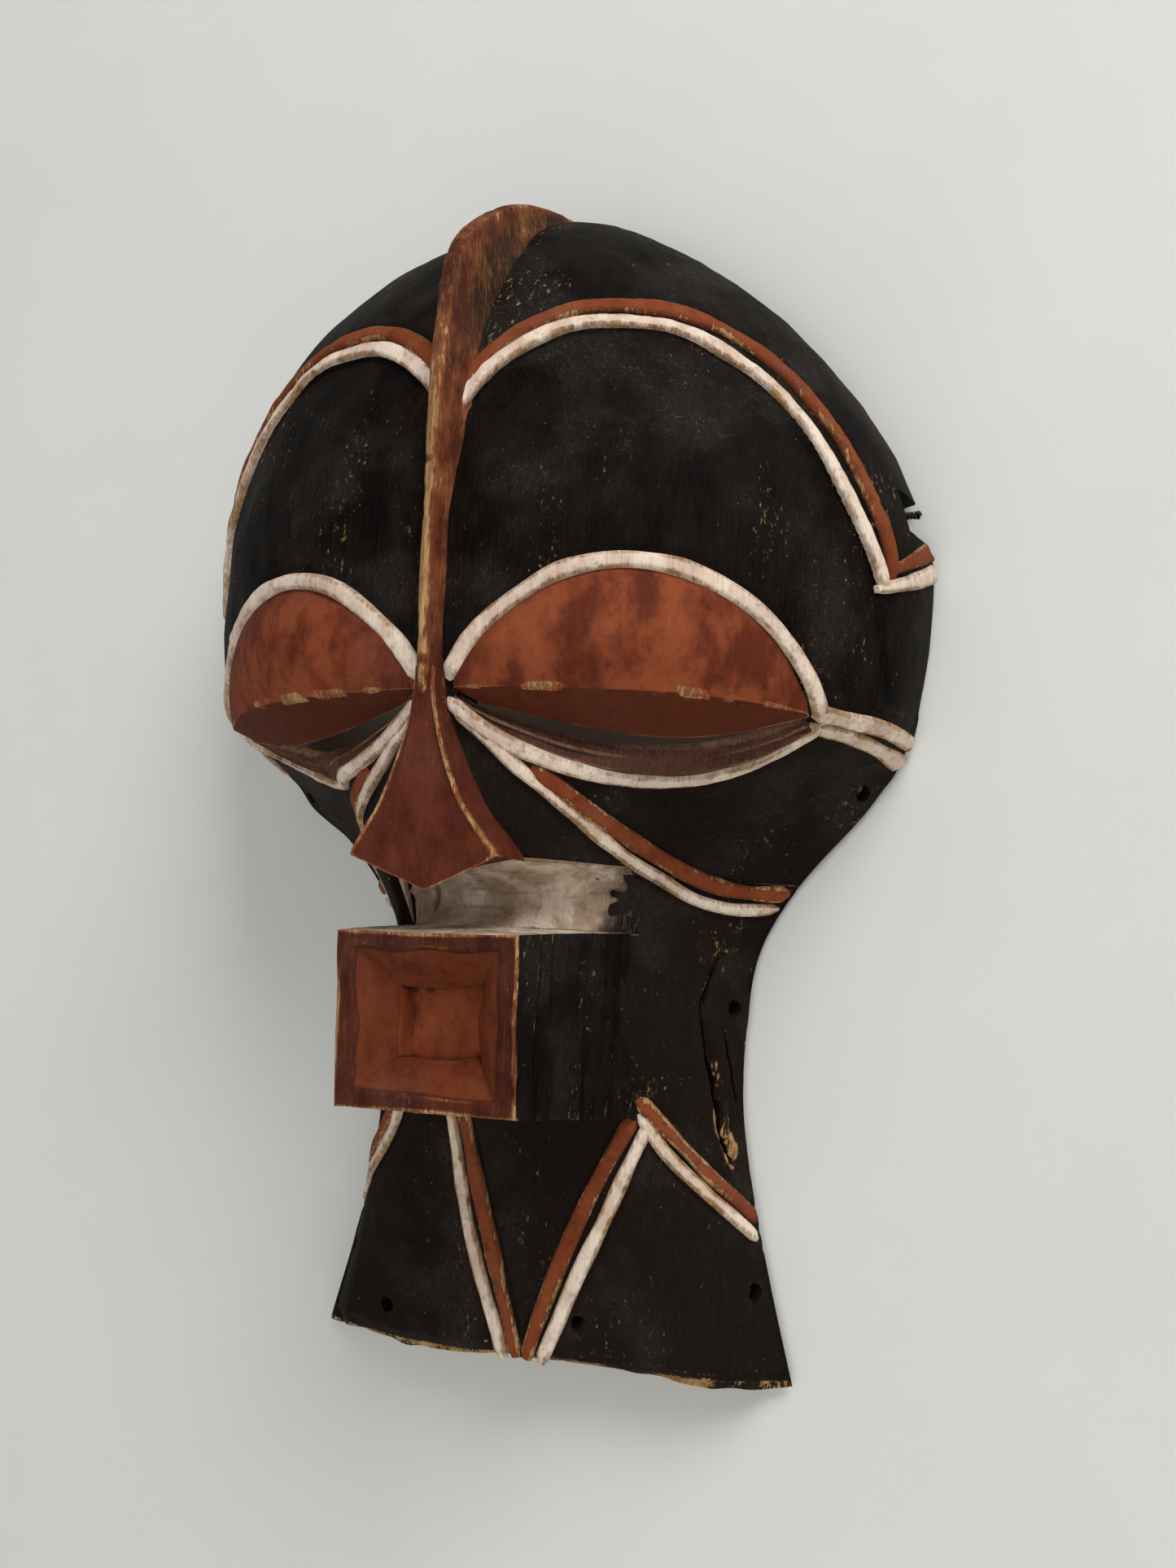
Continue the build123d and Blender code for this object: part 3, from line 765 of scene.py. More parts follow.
def use_group(nodes, tree, inputs):
    return nodes.add("ShaderNodeGroup", inputs, node_tree=tree).outputs


def deliver(nodes, result, values):
    for key, value in values.items():
        nodes.tree.links.new(value, result.inputs[key])


wood_grain, nodes, given, result = shader_group(
    "wood_grain", {"Position": None}, ("Fibre", "Rings", "Colour"),
)
fibre = nodes.noise(given["Position"], (1300, 1300, 50), detail=4.0, roughness=0.65)
rings = nodes.noise(given["Position"], (150, 150, 8), detail=3.0, distortion=0.8)
tone = nodes.math("MULTIPLY_ADD", fibre, 0.55, nodes.math("MULTIPLY", rings, 0.45))
bare = nodes.mix(nodes.ramp(tone, 0.36, 0.64), (0.15, 0.068, 0.024), (0.50, 0.29, 0.125))
deliver(nodes, result, {"Fibre": fibre, "Rings": rings, "Colour": bare})

# Where paint has been rubbed through: most on edges, and in ragged patches that follow the grain.
paint_wear, nodes, given, result = shader_group(
    "paint_wear", {"Position": None, "Edge": 0.0, "Fibre": 0.5, "Amount": 0.2, "Chips": 0.0},
    ("Bare", "Rubbed", "Patches"),
)
patches = nodes.noise(given["Position"], (70, 70, 42), detail=6.0, roughness=0.6)
specks = nodes.noise(given["Position"], (900, 900, 240), detail=3.0)
sharp = nodes.ramp(given["Edge"], 0.02, 0.16)
wear = nodes.math("MULTIPLY_ADD", patches, 0.62, nodes.math("MULTIPLY", specks, 0.3))
wear = nodes.math("MULTIPLY_ADD", given["Fibre"], 0.22, wear)
wear = nodes.math("MULTIPLY_ADD", sharp, 0.26, wear)
limit = nodes.math("MULTIPLY_ADD", given["Amount"], -0.5, 0.92)
bare = nodes.ramp(nodes.math("SUBTRACT", wear, limit), -0.01, 0.035)
flaked = nodes.ramp(nodes.noise(given["Position"], (30, 30, 19), detail=3.0), 0.5, 0.72)
chips = nodes.noise(given["Position"], (520, 520, 260), detail=5.0, roughness=0.75)
chips = nodes.ramp(nodes.math("MULTIPLY_ADD", flaked, 0.09, chips), 0.66, 0.70)
chips = nodes.math("MULTIPLY", chips, given["Chips"])
bare = nodes.math("MAXIMUM", bare, chips)
rubbed = nodes.ramp(nodes.math("SUBTRACT", wear, limit), -0.17, 0.02)
deliver(nodes, result, {"Bare": bare, "Rubbed": rubbed, "Patches": patches})

# Fine pale scratches in several directions, dust on open faces and dirt in creases.
handling, nodes, given, result = shader_group(
    "handling_marks", {"Position": None, "Edge": 0.0}, ("Scratches", "Dust", "Dirt"),
)
lines = []
for turn in ((0.1, 0.5, 0.2), (0.2, -0.8, 0.1), (-0.1, 1.35, 0.6)):
    drawn = {"Vector": given["Position"], "Rotation": turn, "Scale": (0.00055, 0.00055, 0.018)}
    drawn = nodes.add("ShaderNodeMapping", drawn, vector_type="TEXTURE").outputs[0]
    lines.append(nodes.ramp(nodes.noise(drawn, 1.0, detail=2.0), 0.64, 0.72))
scratches = nodes.math("MAXIMUM", nodes.math("MAXIMUM", lines[0], lines[1]), lines[2])
where = nodes.ramp(nodes.noise(given["Position"], 26.0, detail=4.0), 0.46, 0.66)
dust = nodes.math("MULTIPLY", where, nodes.noise(given["Position"], (500, 500, 160), detail=5.0))
crease = nodes.ramp(given["Edge"], -0.02, -0.14)
grime = nodes.ramp(nodes.noise(given["Position"], 210.0, detail=6.0, roughness=0.7), 0.5, 0.7)
dirt = nodes.math("MAXIMUM", crease, nodes.math("MULTIPLY", grime, 0.55))
deliver(nodes, result, {"Scratches": nodes.math("MULTIPLY", scratches, where), "Dust": dust, "Dirt": dirt})


PALE_DUST, SCRATCHED_WOOD = (0.30, 0.27, 0.24), (0.36, 0.30, 0.24)
BROWN_DIRT, BLACK_DIRT = (0.012, 0.009, 0.007), (0.004, 0.003, 0.003)


def painted_wood(
    name, coat, second, worn, dirt_colour=BROWN_DIRT, amount=0.2, dirt=0.6, dust=0.03, scratched=0.1,
    roughness=0.8, shaded=None, bare_share=1.0, chips=0.3, shine=0.12, streaks=0.35,
):
    """Paint on carved wood: two tones of paint, thinned to worn and rubbed to bare on its edges.
    shaded is a colour laid raggedly where the piece's shade marks call for it: painted shade on the
    eyelids, the crest and the mouth bevel, the black paint that the lip's clay gives way to, and a
    browner black low on the shells."""
    material, nodes = new_material(name)
    place_on = nodes.add("ShaderNodeTexCoord").outputs["Object"]
    edge = nodes.add("ShaderNodeAttribute", attribute_name="edge").outputs["Fac"]
    wood = use_group(nodes, wood_grain, {"Position": place_on})
    wear = use_group(nodes, paint_wear, {
        "Position": place_on, "Edge": edge, "Fibre": wood["Fibre"], "Amount": amount, "Chips": chips,
    })
    marks = use_group(nodes, handling, {"Position": place_on, "Edge": edge})
    colour = nodes.mix(nodes.ramp(wear["Patches"], 0.38, 0.62), coat, second)
    if shaded:
        shade = nodes.add("ShaderNodeAttribute", attribute_name="shade").outputs["Fac"]
        ragged = nodes.math("MULTIPLY_ADD", wood["Fibre"], 0.4, wear["Patches"])
        shade = nodes.math("MULTIPLY_ADD", ragged, 0.8, shade)
        colour = nodes.mix(nodes.ramp(shade, 0.8, 1.32), colour, shaded)
    streak = nodes.math("MULTIPLY", nodes.ramp(wood["Fibre"], 0.46, 0.7), streaks)
    colour = nodes.mix(streak, colour, worn)
    colour = nodes.mix(nodes.math("MULTIPLY", wear["Rubbed"], 0.8), colour, worn)
    for where, share, shown in (
        (marks["Dust"], dust, PALE_DUST), (marks["Scratches"], scratched, SCRATCHED_WOOD),
        (wear["Bare"], bare_share, wood["Colour"]), (marks["Dirt"], dirt, dirt_colour),
    ):
        colour = nodes.mix(nodes.math("MULTIPLY", where, share), colour, shown)
    rise = nodes.math("MULTIPLY_ADD", wood["Fibre"], 0.5, nodes.math("MULTIPLY", wood["Rings"], 0.35))
    rise = nodes.math("MULTIPLY_ADD", wear["Bare"], -0.5, rise)
    rise = nodes.math("MULTIPLY_ADD", marks["Scratches"], -0.25, rise)
    bump = nodes.add("ShaderNodeBump", {"Height": rise, "Strength": 0.75, "Distance": 0.0005})
    gloss = nodes.math("MULTIPLY_ADD", wood["Fibre"], 0.22, roughness - 0.11)
    paint = nodes.add("ShaderNodeBsdfPrincipled", {
        "Base Color": colour, "Roughness": gloss, "Normal": bump.outputs[0], "Specular IOR Level": shine,
    })
    nodes.add("ShaderNodeOutputMaterial", {"Surface": paint.outputs[0]})
    return material


black_paint = painted_wood(
    "black_paint", (0.0032, 0.0024, 0.0019), (0.0075, 0.0056, 0.0043), (0.024, 0.016, 0.011),
    BLACK_DIRT, amount=0.22, dirt=0.5, dust=0.055, scratched=0.16, roughness=0.62,
    shaded=(0.011, 0.0072, 0.0052), chips=0.7, shine=0.03,
)
red_ochre = painted_wood(
    "red_ochre_paint", (0.185, 0.036, 0.0095), (0.235, 0.055, 0.016), (0.12, 0.035, 0.014),
    dirt=0.75, dust=0.05,
)
# Its shaded colour is painted shade on the eyelids' lower faces and on the left eyelid.
lid_ochre = painted_wood(
    "eyelid_ochre_paint", (0.10, 0.017, 0.006), (0.245, 0.056, 0.02), (0.31, 0.09, 0.032),
    dirt=0.55, scratched=0.08, chips=0.12, shaded=(0.07, 0.013, 0.0045), streaks=0.15,
)
# Its shaded colour is painted shade on the crest's flanks.
oxblood = painted_wood(
    "oxblood_paint", (0.06, 0.013, 0.006), (0.145, 0.036, 0.012), (0.24, 0.085, 0.028),
    amount=0.46, scratched=0.12, shaded=(0.022, 0.010, 0.005),
)
nose_red = painted_wood(
    "nose_red_paint", (0.068, 0.013, 0.006), (0.115, 0.025, 0.011), (0.30, 0.085, 0.026),
    dirt=0.5, dust=0.04, scratched=0.08, streaks=0.12,
)
white_clay = painted_wood(
    "white_clay_paint", (0.80, 0.66, 0.53), (0.62, 0.46, 0.36), (0.36, 0.22, 0.14),
    (0.05, 0.03, 0.02), amount=0.16, dirt=0.75, dust=0.0, scratched=0.0, roughness=0.9,
)
lip_clay = painted_wood(
    "stained_white_clay", (0.66, 0.54, 0.42), (0.36, 0.26, 0.18), (0.20, 0.13, 0.085),
    dirt=0.7, dust=0.0, scratched=0.0, roughness=0.9, bare_share=0.4, shaded=(0.006, 0.0046, 0.0038),
)
bare_lid = painted_wood(
    "thin_pink_wash", (0.10, 0.040, 0.026), (0.05, 0.02, 0.013), (0.22, 0.12, 0.08),
    amount=0.28, dirt=0.85, dust=0.05, scratched=0.3, bare_share=0.3, shine=0.05,
)
hollow_wood = painted_wood(
    "smoked_bare_wood", (0.16, 0.092, 0.05), (0.085, 0.048, 0.027), (0.28, 0.17, 0.09),
    dust=0.2, roughness=0.9,
)

crown = shell("crown_shell_carving", EYE_LEVEL, 999, black_paint, "black_paint")
cut_out(crown, [rim_notch(1), rim_notch(-1)])
cheeks = shell("cheek_shell_carving", CHIN_LEVEL, EYE_LEVEL, black_paint, "black_paint")
cut_out(cheeks, [eye_slit(1), eye_slit(-1), drilled(123.5, 222.5), drilled(-123.5, 222.5)])
neck = shell("neck_collar_carving", 2.0, CHIN_LEVEL, black_paint, "black_paint")
NECK_HOLES = ((76, 139.6), (-72, 139.6), (87, 35.3), (-87, 35.3), (24.6, 19.6), (-61.3, 16.3))
cut_out(neck, [crack(SPLIT, 2.6, 24), crack(SIDE_SPLIT, 1.6, 26), *(drilled(x, z) for x, z in NECK_HOLES)])

# ---- Painted ribs ----
# Low flat ribs left standing in the wood and painted red ochre or white clay.  Pairs of
# them frame the brow, the eyes, the cheeks, the throat and the neck.


def ribbon(name, points, out, width, relief_height, material, slot, seed, own=True):
    """Low flat rib along points on the wood, sunk a little into it and tapered at its ends.
    width is one value, or one for each end."""
    count = len(points)
    along = np.gradient(points, axis=0)
    along /= np.linalg.norm(along, axis=1, keepdims=True)
    cross = np.cross(out, along)
    cross /= np.linalg.norm(cross, axis=1, keepdims=True)
    half_profile = np.array([0.12, 0.36, 0.6, 0.8, 0.93, 1.0])
    across_profile = np.concatenate([-half_profile[::-1], half_profile, [0.8, 0, -0.8]])
    rise_profile = (1 - np.abs(across_profile) ** 5) ** 0.85
    rise_profile[[0, 11]] = -0.3
    run = np.r_[0, np.cumsum(np.linalg.norm(np.diff(points, axis=0), axis=1))]
    key = np.stack([run, np.full(count, seed * 7.3), np.zeros(count)], axis=1)
    end = step(np.minimum(run, run[-1] - run), 0, 4)
    wide = np.linspace(*np.broadcast_to(width, 2), count) / 2
    wide = wide * (1 + 0.17 * lattice_noise(key, 14.0, seed)) * (0.6 + 0.4 * end)
    tall = relief_height * (1 + 0.25 * lattice_noise(key, 9.0, seed + 1))
    shift = 0.5 * lattice_noise(key, 22.0, seed + 2)
    offset = across_profile[None, :] * wide[:, None] + shift[:, None]
    lift = rise_profile[None, :] * tall[:, None] - (1 - end)[:, None] * relief_height
    lift[:, 12:] = -2.2
    body = points[:, None, :] + cross[:, None, :] * offset[..., None] + out[:, None, :] * lift[..., None]
    flat = body.reshape(-1, 3)
    nick = 0.22 * lattice_noise(flat, 2.6, seed + 3) + 0.2 * lattice_noise(flat, 6.0, seed + 4)
    body += out[:, None, :] * nick.reshape(count, -1)[..., None]
    node = name.replace("_carving", "") if own else None
    return carved_piece(name, *closed_tube(body), material, node=node, slot=slot)


def front_rib(name, line, side, width, material, slot, seed, relief_height):
    """Rib whose line is given as (across, height) seen from the front; side 0 takes it as it is."""
    flat = smooth_line(line, len(line) * 18)
    flat = np.stack(mirrored(flat, side) if side else flat.T, axis=1)
    points, _ = surface(*flat.T)
    run = np.r_[0, np.cumsum(np.linalg.norm(np.diff(points, axis=0), axis=1))]
    even = np.linspace(0, run[-1], max(20, int(run[-1] / 1.2)))
    points, out = surface(*(np.interp(even, run, column) for column in flat.T))
    return ribbon(name, points, out, width, relief_height, material, slot, seed)


def across_at(depth, height, side):
    """Where the flank of the block has a given depth, found by halving."""
    low = 0.45 * half_width(height, side)
    high = half_width(height, side)
    for _ in range(40):
        middle = (low + high) / 2
        deeper = form_depth(side * middle, height) > depth
        low, high = np.where(deeper, middle, low), np.where(deeper, high, middle)
    return side * low


def flank_rib(name, line, side, width, material, slot, seed, relief_height, own=True):
    """Rib on the side of the head whose line is given as (depth, height) seen from the side."""
    flat = smooth_line(line, 46)
    x = across_at(flat[:, 0], flat[:, 1], side)
    _, out = surface(x, flat[:, 1])
    points = np.stack([x, flat[:, 0], flat[:, 1]], axis=1)
    return ribbon(name, points, out, width, relief_height, material, slot, seed, own)


WHITE, RED = (white_clay, "white_clay"), (red_ochre, "red_ochre")
TEMPLE_UPPER = [(62, 243.5), (30, 243.5), (0.5, 241)]
TEMPLE_LOWER = [(58, 239.8), (28, 237.7), (0.5, 233.3)]
BROW_TIP = [(47, 291), (22, 299.5), (1, 307.5)]
BROW_TIP_ABOVE = [(44, 297), (22, 308), (2, 315.5)]
for side, word in BOTH_SIDES:
    seed = 100 if side > 0 else 300
    front_rib(f"eye_rim_upper_{word}_carving", EYE_RIM_UPPER, side, 6.8, *WHITE, seed, 1.9)
    front_rib(f"eye_rim_lower_{word}_carving", EYE_RIM_LOWER, side, 5.4, *WHITE, seed + 10, 1.7)
    front_rib(f"brow_band_white_{word}_carving", BROW_WHITE, side, 6.2, *WHITE, seed + 20, 1.1)
    front_rib(f"brow_band_red_{word}_carving", BROW_RED, side, 7.4, *RED, seed + 30, 1.5)
    front_rib(f"cheek_band_white_{word}_carving", CHEEK_WHITE, side, 4.8, *WHITE, seed + 40, 1.4)
    front_rib(f"cheek_band_red_{word}_carving", CHEEK_RED, side, 6.0, *RED, seed + 50, 1.6)
    front_rib(f"throat_band_white_{word}_carving", THROAT_WHITE[word], 0, 5.6, *WHITE, seed + 60, 1.2)
    front_rib(f"throat_band_red_{word}_carving", THROAT_RED[word], 0, 6.4, *RED, seed + 70, 1.4)
    front_rib(f"neck_band_red_{word}_carving", NECK_RED, side, 5.5, *RED, seed + 80, 1.5)
    front_rib(f"neck_band_white_{word}_carving", NECK_WHITE, side, 4.8, *WHITE, seed + 90, 1.3)
    flank_rib(f"temple_rib_upper_{word}_carving", TEMPLE_UPPER, side, (6.4, 7.4), *WHITE, seed + 95, 1.3)
    flank_rib(f"temple_rib_lower_{word}_carving", TEMPLE_LOWER, side, (5.6, 7.2), *WHITE, seed + 96, 1.2)
    flank_rib(f"brow_tip_{word}_carving", BROW_TIP, side, (4, 9), *WHITE, seed + 97, 1.4)
    flank_rib(f"brow_tip_red_{word}_carving", BROW_TIP_ABOVE, side, (3, 9), *RED, seed + 98, 1.0, own=False)

# ---- Eyelids ----
# Each eye is a swollen half lens of red ochre: a full upper face, a level crease, and a lower
# face that turns back in to the slit.  Under the slit a bare lower lid runs down to its rim.
LID_TOP = [
    (8, 250), (18, 265), (30, 275), (49, 285), (68, 288.5), (88, 286), (103, 277.5), (113, 264), (119, 247),
]
LID_CREASE = [(8, 246.3), (35.7, 245.8), (63.5, 245.6), (89, 245.3), (107, 244.1), (119, 242.8)]
LID_FOOT = [
    (8, 246), (13, 243), (29, 238.8), (43.6, 235.7), (57.7, 233.4), (71, 232.1), (84, 232.4), (97, 234.6),
    (109, 238.3), (119, 242),
]
FACE_ROWS = 34   # rows of points on the lid's upper face


def crown_surface_depth(x, height):
    """Depth of the dome carried on below the eyes, where the cheeks fall away from it."""
    width, depth = crown_size(height, x)
    return depth * (1 - np.clip(np.abs(x) / width, 0, 1) ** 2.1) ** (1 / 2.1)


def eyelid(side, word, seed):
    along = np.linspace(0, 1, 150)
    x = 8 + 111 * (1 - np.cos(along * math.pi)) / 2
    rails = [through(x, *np.array(line, float).T) for line in (LID_TOP, LID_CREASE, LID_FOOT)]
    swell = np.sin(np.clip((x - 8) / 111, 0, 1) * math.pi) ** 0.55
    columns = []
    for t in np.linspace(0, 1, FACE_ROWS):
        height = rails[0] + (rails[1] - rails[0]) * t
        lift = -2.0 * (1 - t) ** 8 + swell * (4.2 * t**0.8 + 5.2 * np.sin(math.pi * min(t * 1.02, 1)) ** 0.9)
        columns.append((height, crown_surface_depth(side * x, height) + lift))
    crease_depth = crown_surface_depth(side * x, rails[1]) + 4.2 * swell
    foot_depth = crown_surface_depth(side * x, rails[2]) - 11.5 * swell
    for t in np.linspace(0, 1, 20)[1:]:
        height = rails[1] + (rails[2] - rails[1]) * t
        bulge = 1.6 * swell * math.sin(math.pi * t)
        columns.append((height, crease_depth + (foot_depth - crease_depth) * t + bulge))
    columns.append((rails[2] + 1.5 * swell, foot_depth - 1 * swell - 1))
    for height in ((rails[0] + 2 * rails[1]) / 3, (2 * rails[0] + rails[1]) / 3, rails[0] - 2.0):
        columns.append((height, crown_surface_depth(side * x, height) - 4 * swell - 1.5))
    columns = [np.stack([side * x, depth, height + 0 * x], axis=1) for height, depth in columns]
    loop = np.stack(columns, axis=1)
    flat = loop.reshape(-1, 3)
    tooling = 0.3 * lattice_noise(flat, 16.0, seed) + 0.16 * lattice_noise(flat * (0.25, 1, 1), 2.2, seed + 1)
    loop[:, :-4, 1] += tooling.reshape(loop.shape[:2])[:, :-4] * swell[:, None]
    # Painted shade: the lower face, turned down and in towards the slit, takes the lid paint's shaded colour, and
    # the left lid is shaded more than the right. The upper face is darker towards its ends and its top edge.
    shade = np.zeros(loop.shape[:2])
    shade[:, :FACE_ROWS] = 0.45 * (1 - swell[:, None]) + 0.25 * np.linspace(1, 0, FACE_ROWS) ** 4
    shade[:, FACE_ROWS:] = 0.62
    shade += 0.2 * (side < 0)
    crease = 0.2 * step(lattice_noise(flat, 8.0, seed + 2), 0, 0.3).reshape(loop.shape[:2])
    crease[:, :FACE_ROWS - 2] = crease[:, FACE_ROWS + 2:] = 0
    carved_piece(
        f"eyelid_{word}_carving", *closed_tube(loop), lid_ochre, node=f"eyelid_{word}", slot="red_ochre",
        shade=shade, rubbed=crease.ravel(),
    )


def lower_lid(side, word, seed):
    """Thin bare facing between the slit and the lower rim, with two ridges along it."""
    top, foot = smooth_line(LOWER_LID_TOP, 120), smooth_line(LOWER_LID_FOOT, 120)
    share = np.linspace(0, 1, 16)[None, :, None]
    flat = top[:, None, :] * (1 - share) + foot[:, None, :] * share
    share = share[..., 0]
    points, out = surface(side * flat[..., 0], flat[..., 1])
    points[..., 1] -= 8.0 * (1 - share) ** 1.2 * np.sin(np.linspace(0, math.pi, 120))[:, None] ** 0.5
    inset = np.sin(share * math.pi) ** 0.3
    wave = 0.9 * (0.5 - 0.5 * np.cos(share * 2 * math.pi * 2)) ** 2
    wave = wave * (1 + 0.8 * lattice_noise(points, 16.0, seed + 3))
    lift = -1.0 + (1.0 + 0.4) * inset + wave * inset
    lift = lift + 0.2 * lattice_noise(points, 4.0, seed)
    skin = points + out * lift[..., None]
    loop = np.concatenate([skin, (points - 3 * out)[:, ::-1]], axis=1)
    carved_piece(f"lower_lid_{word}_carving", *closed_tube(loop), bare_lid, slot="white_clay")


LOWER_LID_TOP = [
    (8, 244.2), (14, 240.7), (29, 235.1), (42.5, 231.2), (55.6, 228.9), (67, 228.8), (79, 230.4), (92, 233.4),
    (106.5, 237.6), (117, 241.6),
]
for side, word in BOTH_SIDES:
    eyelid(side, word, 500 + 10 * side)
    lower_lid(side, word, 520 + side)

# ---- Crest ----
# A fin that rises over the skull from its back edge, stands highest above the brow and thins to
# a ridge between the eyes, where it runs into the nose.  Dark red, rubbed golden on its edge.
CREST_LINE = [
    (88, 157.0), (78, 156.6), (70, 157.0), (60, 158.8), (50, 159.6), (43, 159.6), (38, 156.6), (33, 151.4),
    (27, 145.6), (21, 140.6), (15, 136.8), (8, 133.6), (0, 132.2), (-10, 133.8), (-19, 137.8), (-26, 142.6),
]


def crest():
    turn = np.linspace(88, -26, 300)
    knots = np.array(CREST_LINE, float)[::-1]
    skyline = through(turn, knots[:, 0], knots[:, 1])
    angle = np.radians(turn)
    foot = 1 / np.sqrt((np.cos(angle) / CROWN_DEPTH) ** 2 + (np.sin(angle) / CROWN_RISE) ** 2) - 2.5
    foot = np.minimum(foot, skyline - 5)
    edge = through(turn, [-26, 10, 25, 40, 60, 88], [1.6, 1.9, 2.4, 3.6, 4.2, 3.6])
    base = through(turn, [-26, 0, 20, 40, 60, 88], [5.5, 6.2, 7.4, 7.6, 7.2, 7.0])
    half = [(0.05, 0.025), (0.1, 0.09), (0.22, 0.24), (0.34, 0.42), (0.5, 0.62), (0.72, 0.82), (1.0, 1.0)]
    profile = [(-share, drop) for share, drop in half[::-1]] + [(0.0, 0.0)] + half
    columns = []
    for share, drop in profile:
        sign = math.copysign(1, share) if share else 0
        bulk = abs(share)
        wide = sign * (edge * min(1, (drop / 0.09)) ** 0.5 + (base - edge) * max(0, (bulk - 0.1) / 0.9))
        fall = (skyline - foot) * drop if drop > 0.1 else drop * 12.0
        columns.append((wide, skyline - fall))
    columns.append((base * 0.6, foot - 5))
    columns.append((-base * 0.6, foot - 5))
    loop = np.stack([
        np.stack([wide + 0 * angle, radius * np.cos(angle), CROWN_CENTRE + radius * np.sin(angle)], axis=1)
        for wide, radius in columns
    ], axis=1)
    flat = loop.reshape(-1, 3)
    tooling = 0.5 * lattice_noise(flat, 14.0, 601) + 0.25 * lattice_noise(flat, 4.0, 602)
    loop[..., 0] += (tooling * np.sign(flat[:, 0])).reshape(loop.shape[:2])
    nick = np.clip(lattice_noise(flat, 5.0, 603), 0.25, 1) - 0.25
    loop[..., 1] -= 1.6 * nick.reshape(loop.shape[:2]) * (np.abs(loop[..., 0]) < 4)
    loop[..., 1] = np.maximum(loop[..., 1], RIM_BACK)
    # Painted shade: over the upper part of the crest its flanks darken towards their foot.
    drops = np.array([drop for _, drop in profile] + [1.0, 1.0])
    shade = step(turn, 22, 44)[:, None] * step(drops, 0.2, 0.55)[None, :]
    carved_piece(
        "crest_carving", *closed_tube(loop), oxblood, node="crest", slot="oxblood_paint", shade=shade,
    )


crest()

# ---- Nose ----
# A long flat-fronted wedge that flares to two sharp wings and a pointed lower edge, with a
# narrow facet down each side.  Dark red, rubbed orange where the paint has gone.
NOSE_HALF = [
    (176, 29), (187, 28.6), (190, 27.6), (195, 24), (204, 17.3), (215, 11.8), (224, 8.4), (234, 5.4), (243, 3.7),
    (253, 3.2),
]
NOSE_FRONT = [
    (176, 119.2), (188, 121.6), (205, 124.6), (221, 126.0), (236, 126.8), (246, 127.6), (253, 127.2),
]


def nose():
    shares = np.concatenate([np.linspace(-2, -1, 9), np.linspace(-1, 1, 41)[1:-1], np.linspace(1, 2, 9)])
    rows_down = np.linspace(0, 1, 110)
    tip = 176.2 + 11.8 * np.clip(np.abs(shares), 0, 1)
    height = 253 + (tip[None, :] - 253) * rows_down[:, None]
    half = through(height, *np.array(NOSE_HALF, float).T)
    face = through(height, *np.array(NOSE_FRONT, float).T)
    middle = np.clip(shares, -1, 1)[None, :]
    beyond = np.clip(np.abs(shares) - 1, 0, 1)[None, :] * np.sign(shares)[None, :]
    flare = 1.8 - 1.4 * step(height, 200, 188)
    x = middle * half + beyond * flare
    lip = 0.9 * np.exp(-((np.abs(shares) - 0.95) / 0.07) ** 2)[None, :] * step(rows_down, 0.15, 0.5)[:, None]
    depth = face - 0.8 * (1 - middle**2) * step(height, 250, 200) + lip
    cheek = np.minimum(block_depth(np.abs(x) + 1, height), face) - 3
    depth = depth + (cheek - depth) * np.abs(beyond) ** 1.1
    upper = np.stack([x, depth, height], axis=-1)
    under = []
    for t in np.linspace(0, 1, 12)[1:]:
        row = upper[-1].copy()
        row[:, 1] = row[:, 1] + (84 - row[:, 1]) * t
        row[:, 2] = row[:, 2] + (LIP_HIGH + 1 - row[:, 2]) * t**0.8
        row[:, 0] *= 1 - 0.1 * t
        under.append(row)
    sheet = np.concatenate([upper, np.array(under)])
    back = sheet[:, [-1, 0]].copy()
    back[..., 0] *= 0.6
    back[..., 1] = np.maximum(np.minimum(back[..., 1] - 8, 90), hollow_depth(*back[..., [0, 2]].T).T + 3)
    loop = np.concatenate([sheet, back], axis=1)
    flat = loop.reshape(-1, 3)
    tooling = 0.35 * lattice_noise(flat, 15.0, 611) + 0.2 * lattice_noise(flat * (1, 1, 0.35), 3.5, 612)
    loop[..., 1] += tooling.reshape(loop.shape[:2])
    carved_piece("nose_carving", *closed_tube(loop), nose_red, node="nose", slot="oxblood_paint")


nose()

# ---- Upper lip ----
# The wood scooped out between the nose and the mouth box, and whitened with clay.  The clay stops
# in a ragged edge on the right, where the scoop runs out over the jaw.
def upper_lip():
    across = np.linspace(LIP_LEFT - 3, LIP_RIGHT + 3, 150)[:, None]
    height = np.linspace(LIP_LOW + 1.2, LIP_HIGH + 0.6, 56)[None, :]
    depth = block_depth(across, height)
    skin = np.stack(np.broadcast_arrays(across, depth, height), axis=-1).astype(float)
    grid = strip_faces(*skin.shape[:2])
    out = keep_outward(skin.reshape(-1, 3), grid).reshape(skin.shape)
    end = np.minimum(np.minimum(LIP_RIGHT + 3 - across, (across - LIP_LEFT + 3) * 2.5) / 9, 1)
    lift = 1.1 * step(end, 0, 0.5) - 0.7 + 0.25 * lattice_noise(skin * (0.2, 1, 1), 2.4, 622)
    loop = np.concatenate([skin + out * lift[..., None], (skin - out * 3.0)[:, ::-1]], axis=1)
    shade = step(loop[..., 0] - 0.4 * (loop[..., 2] - 176), 35, 57)
    carved_piece(
        "upper_lip_carving", *closed_tube(loop), lip_clay, node="upper_lip", slot="white_clay", shade=shade,
    )


upper_lip()

# ---- Mouth box ----
# A square tube of solid wood that stands far out of the chin, with a stepped recess in its end.
# Dark red frame, orange-red recess, white top and black sides that have cracked along the grain.
BOX_FRONT = (35.4, 100.6, 161.9)   # half width, foot and top of the front frame
BOX_ROOT = (50.0, 98.0, 166.0)
ROOT_RINGS, OUTER_RINGS, PER_SIDE = 12, 90, 28
BEVEL_RING, FLOOR_RING, FLOOR_END = 97, 108, 113   # counted from the first ring of the outside
SIDE_CRACKS = [(56, 0.8), (65, 0.7), (74, 1.5), (81, 0.7), (88, 1.1), (95, 0.6), (103, 0.9)]


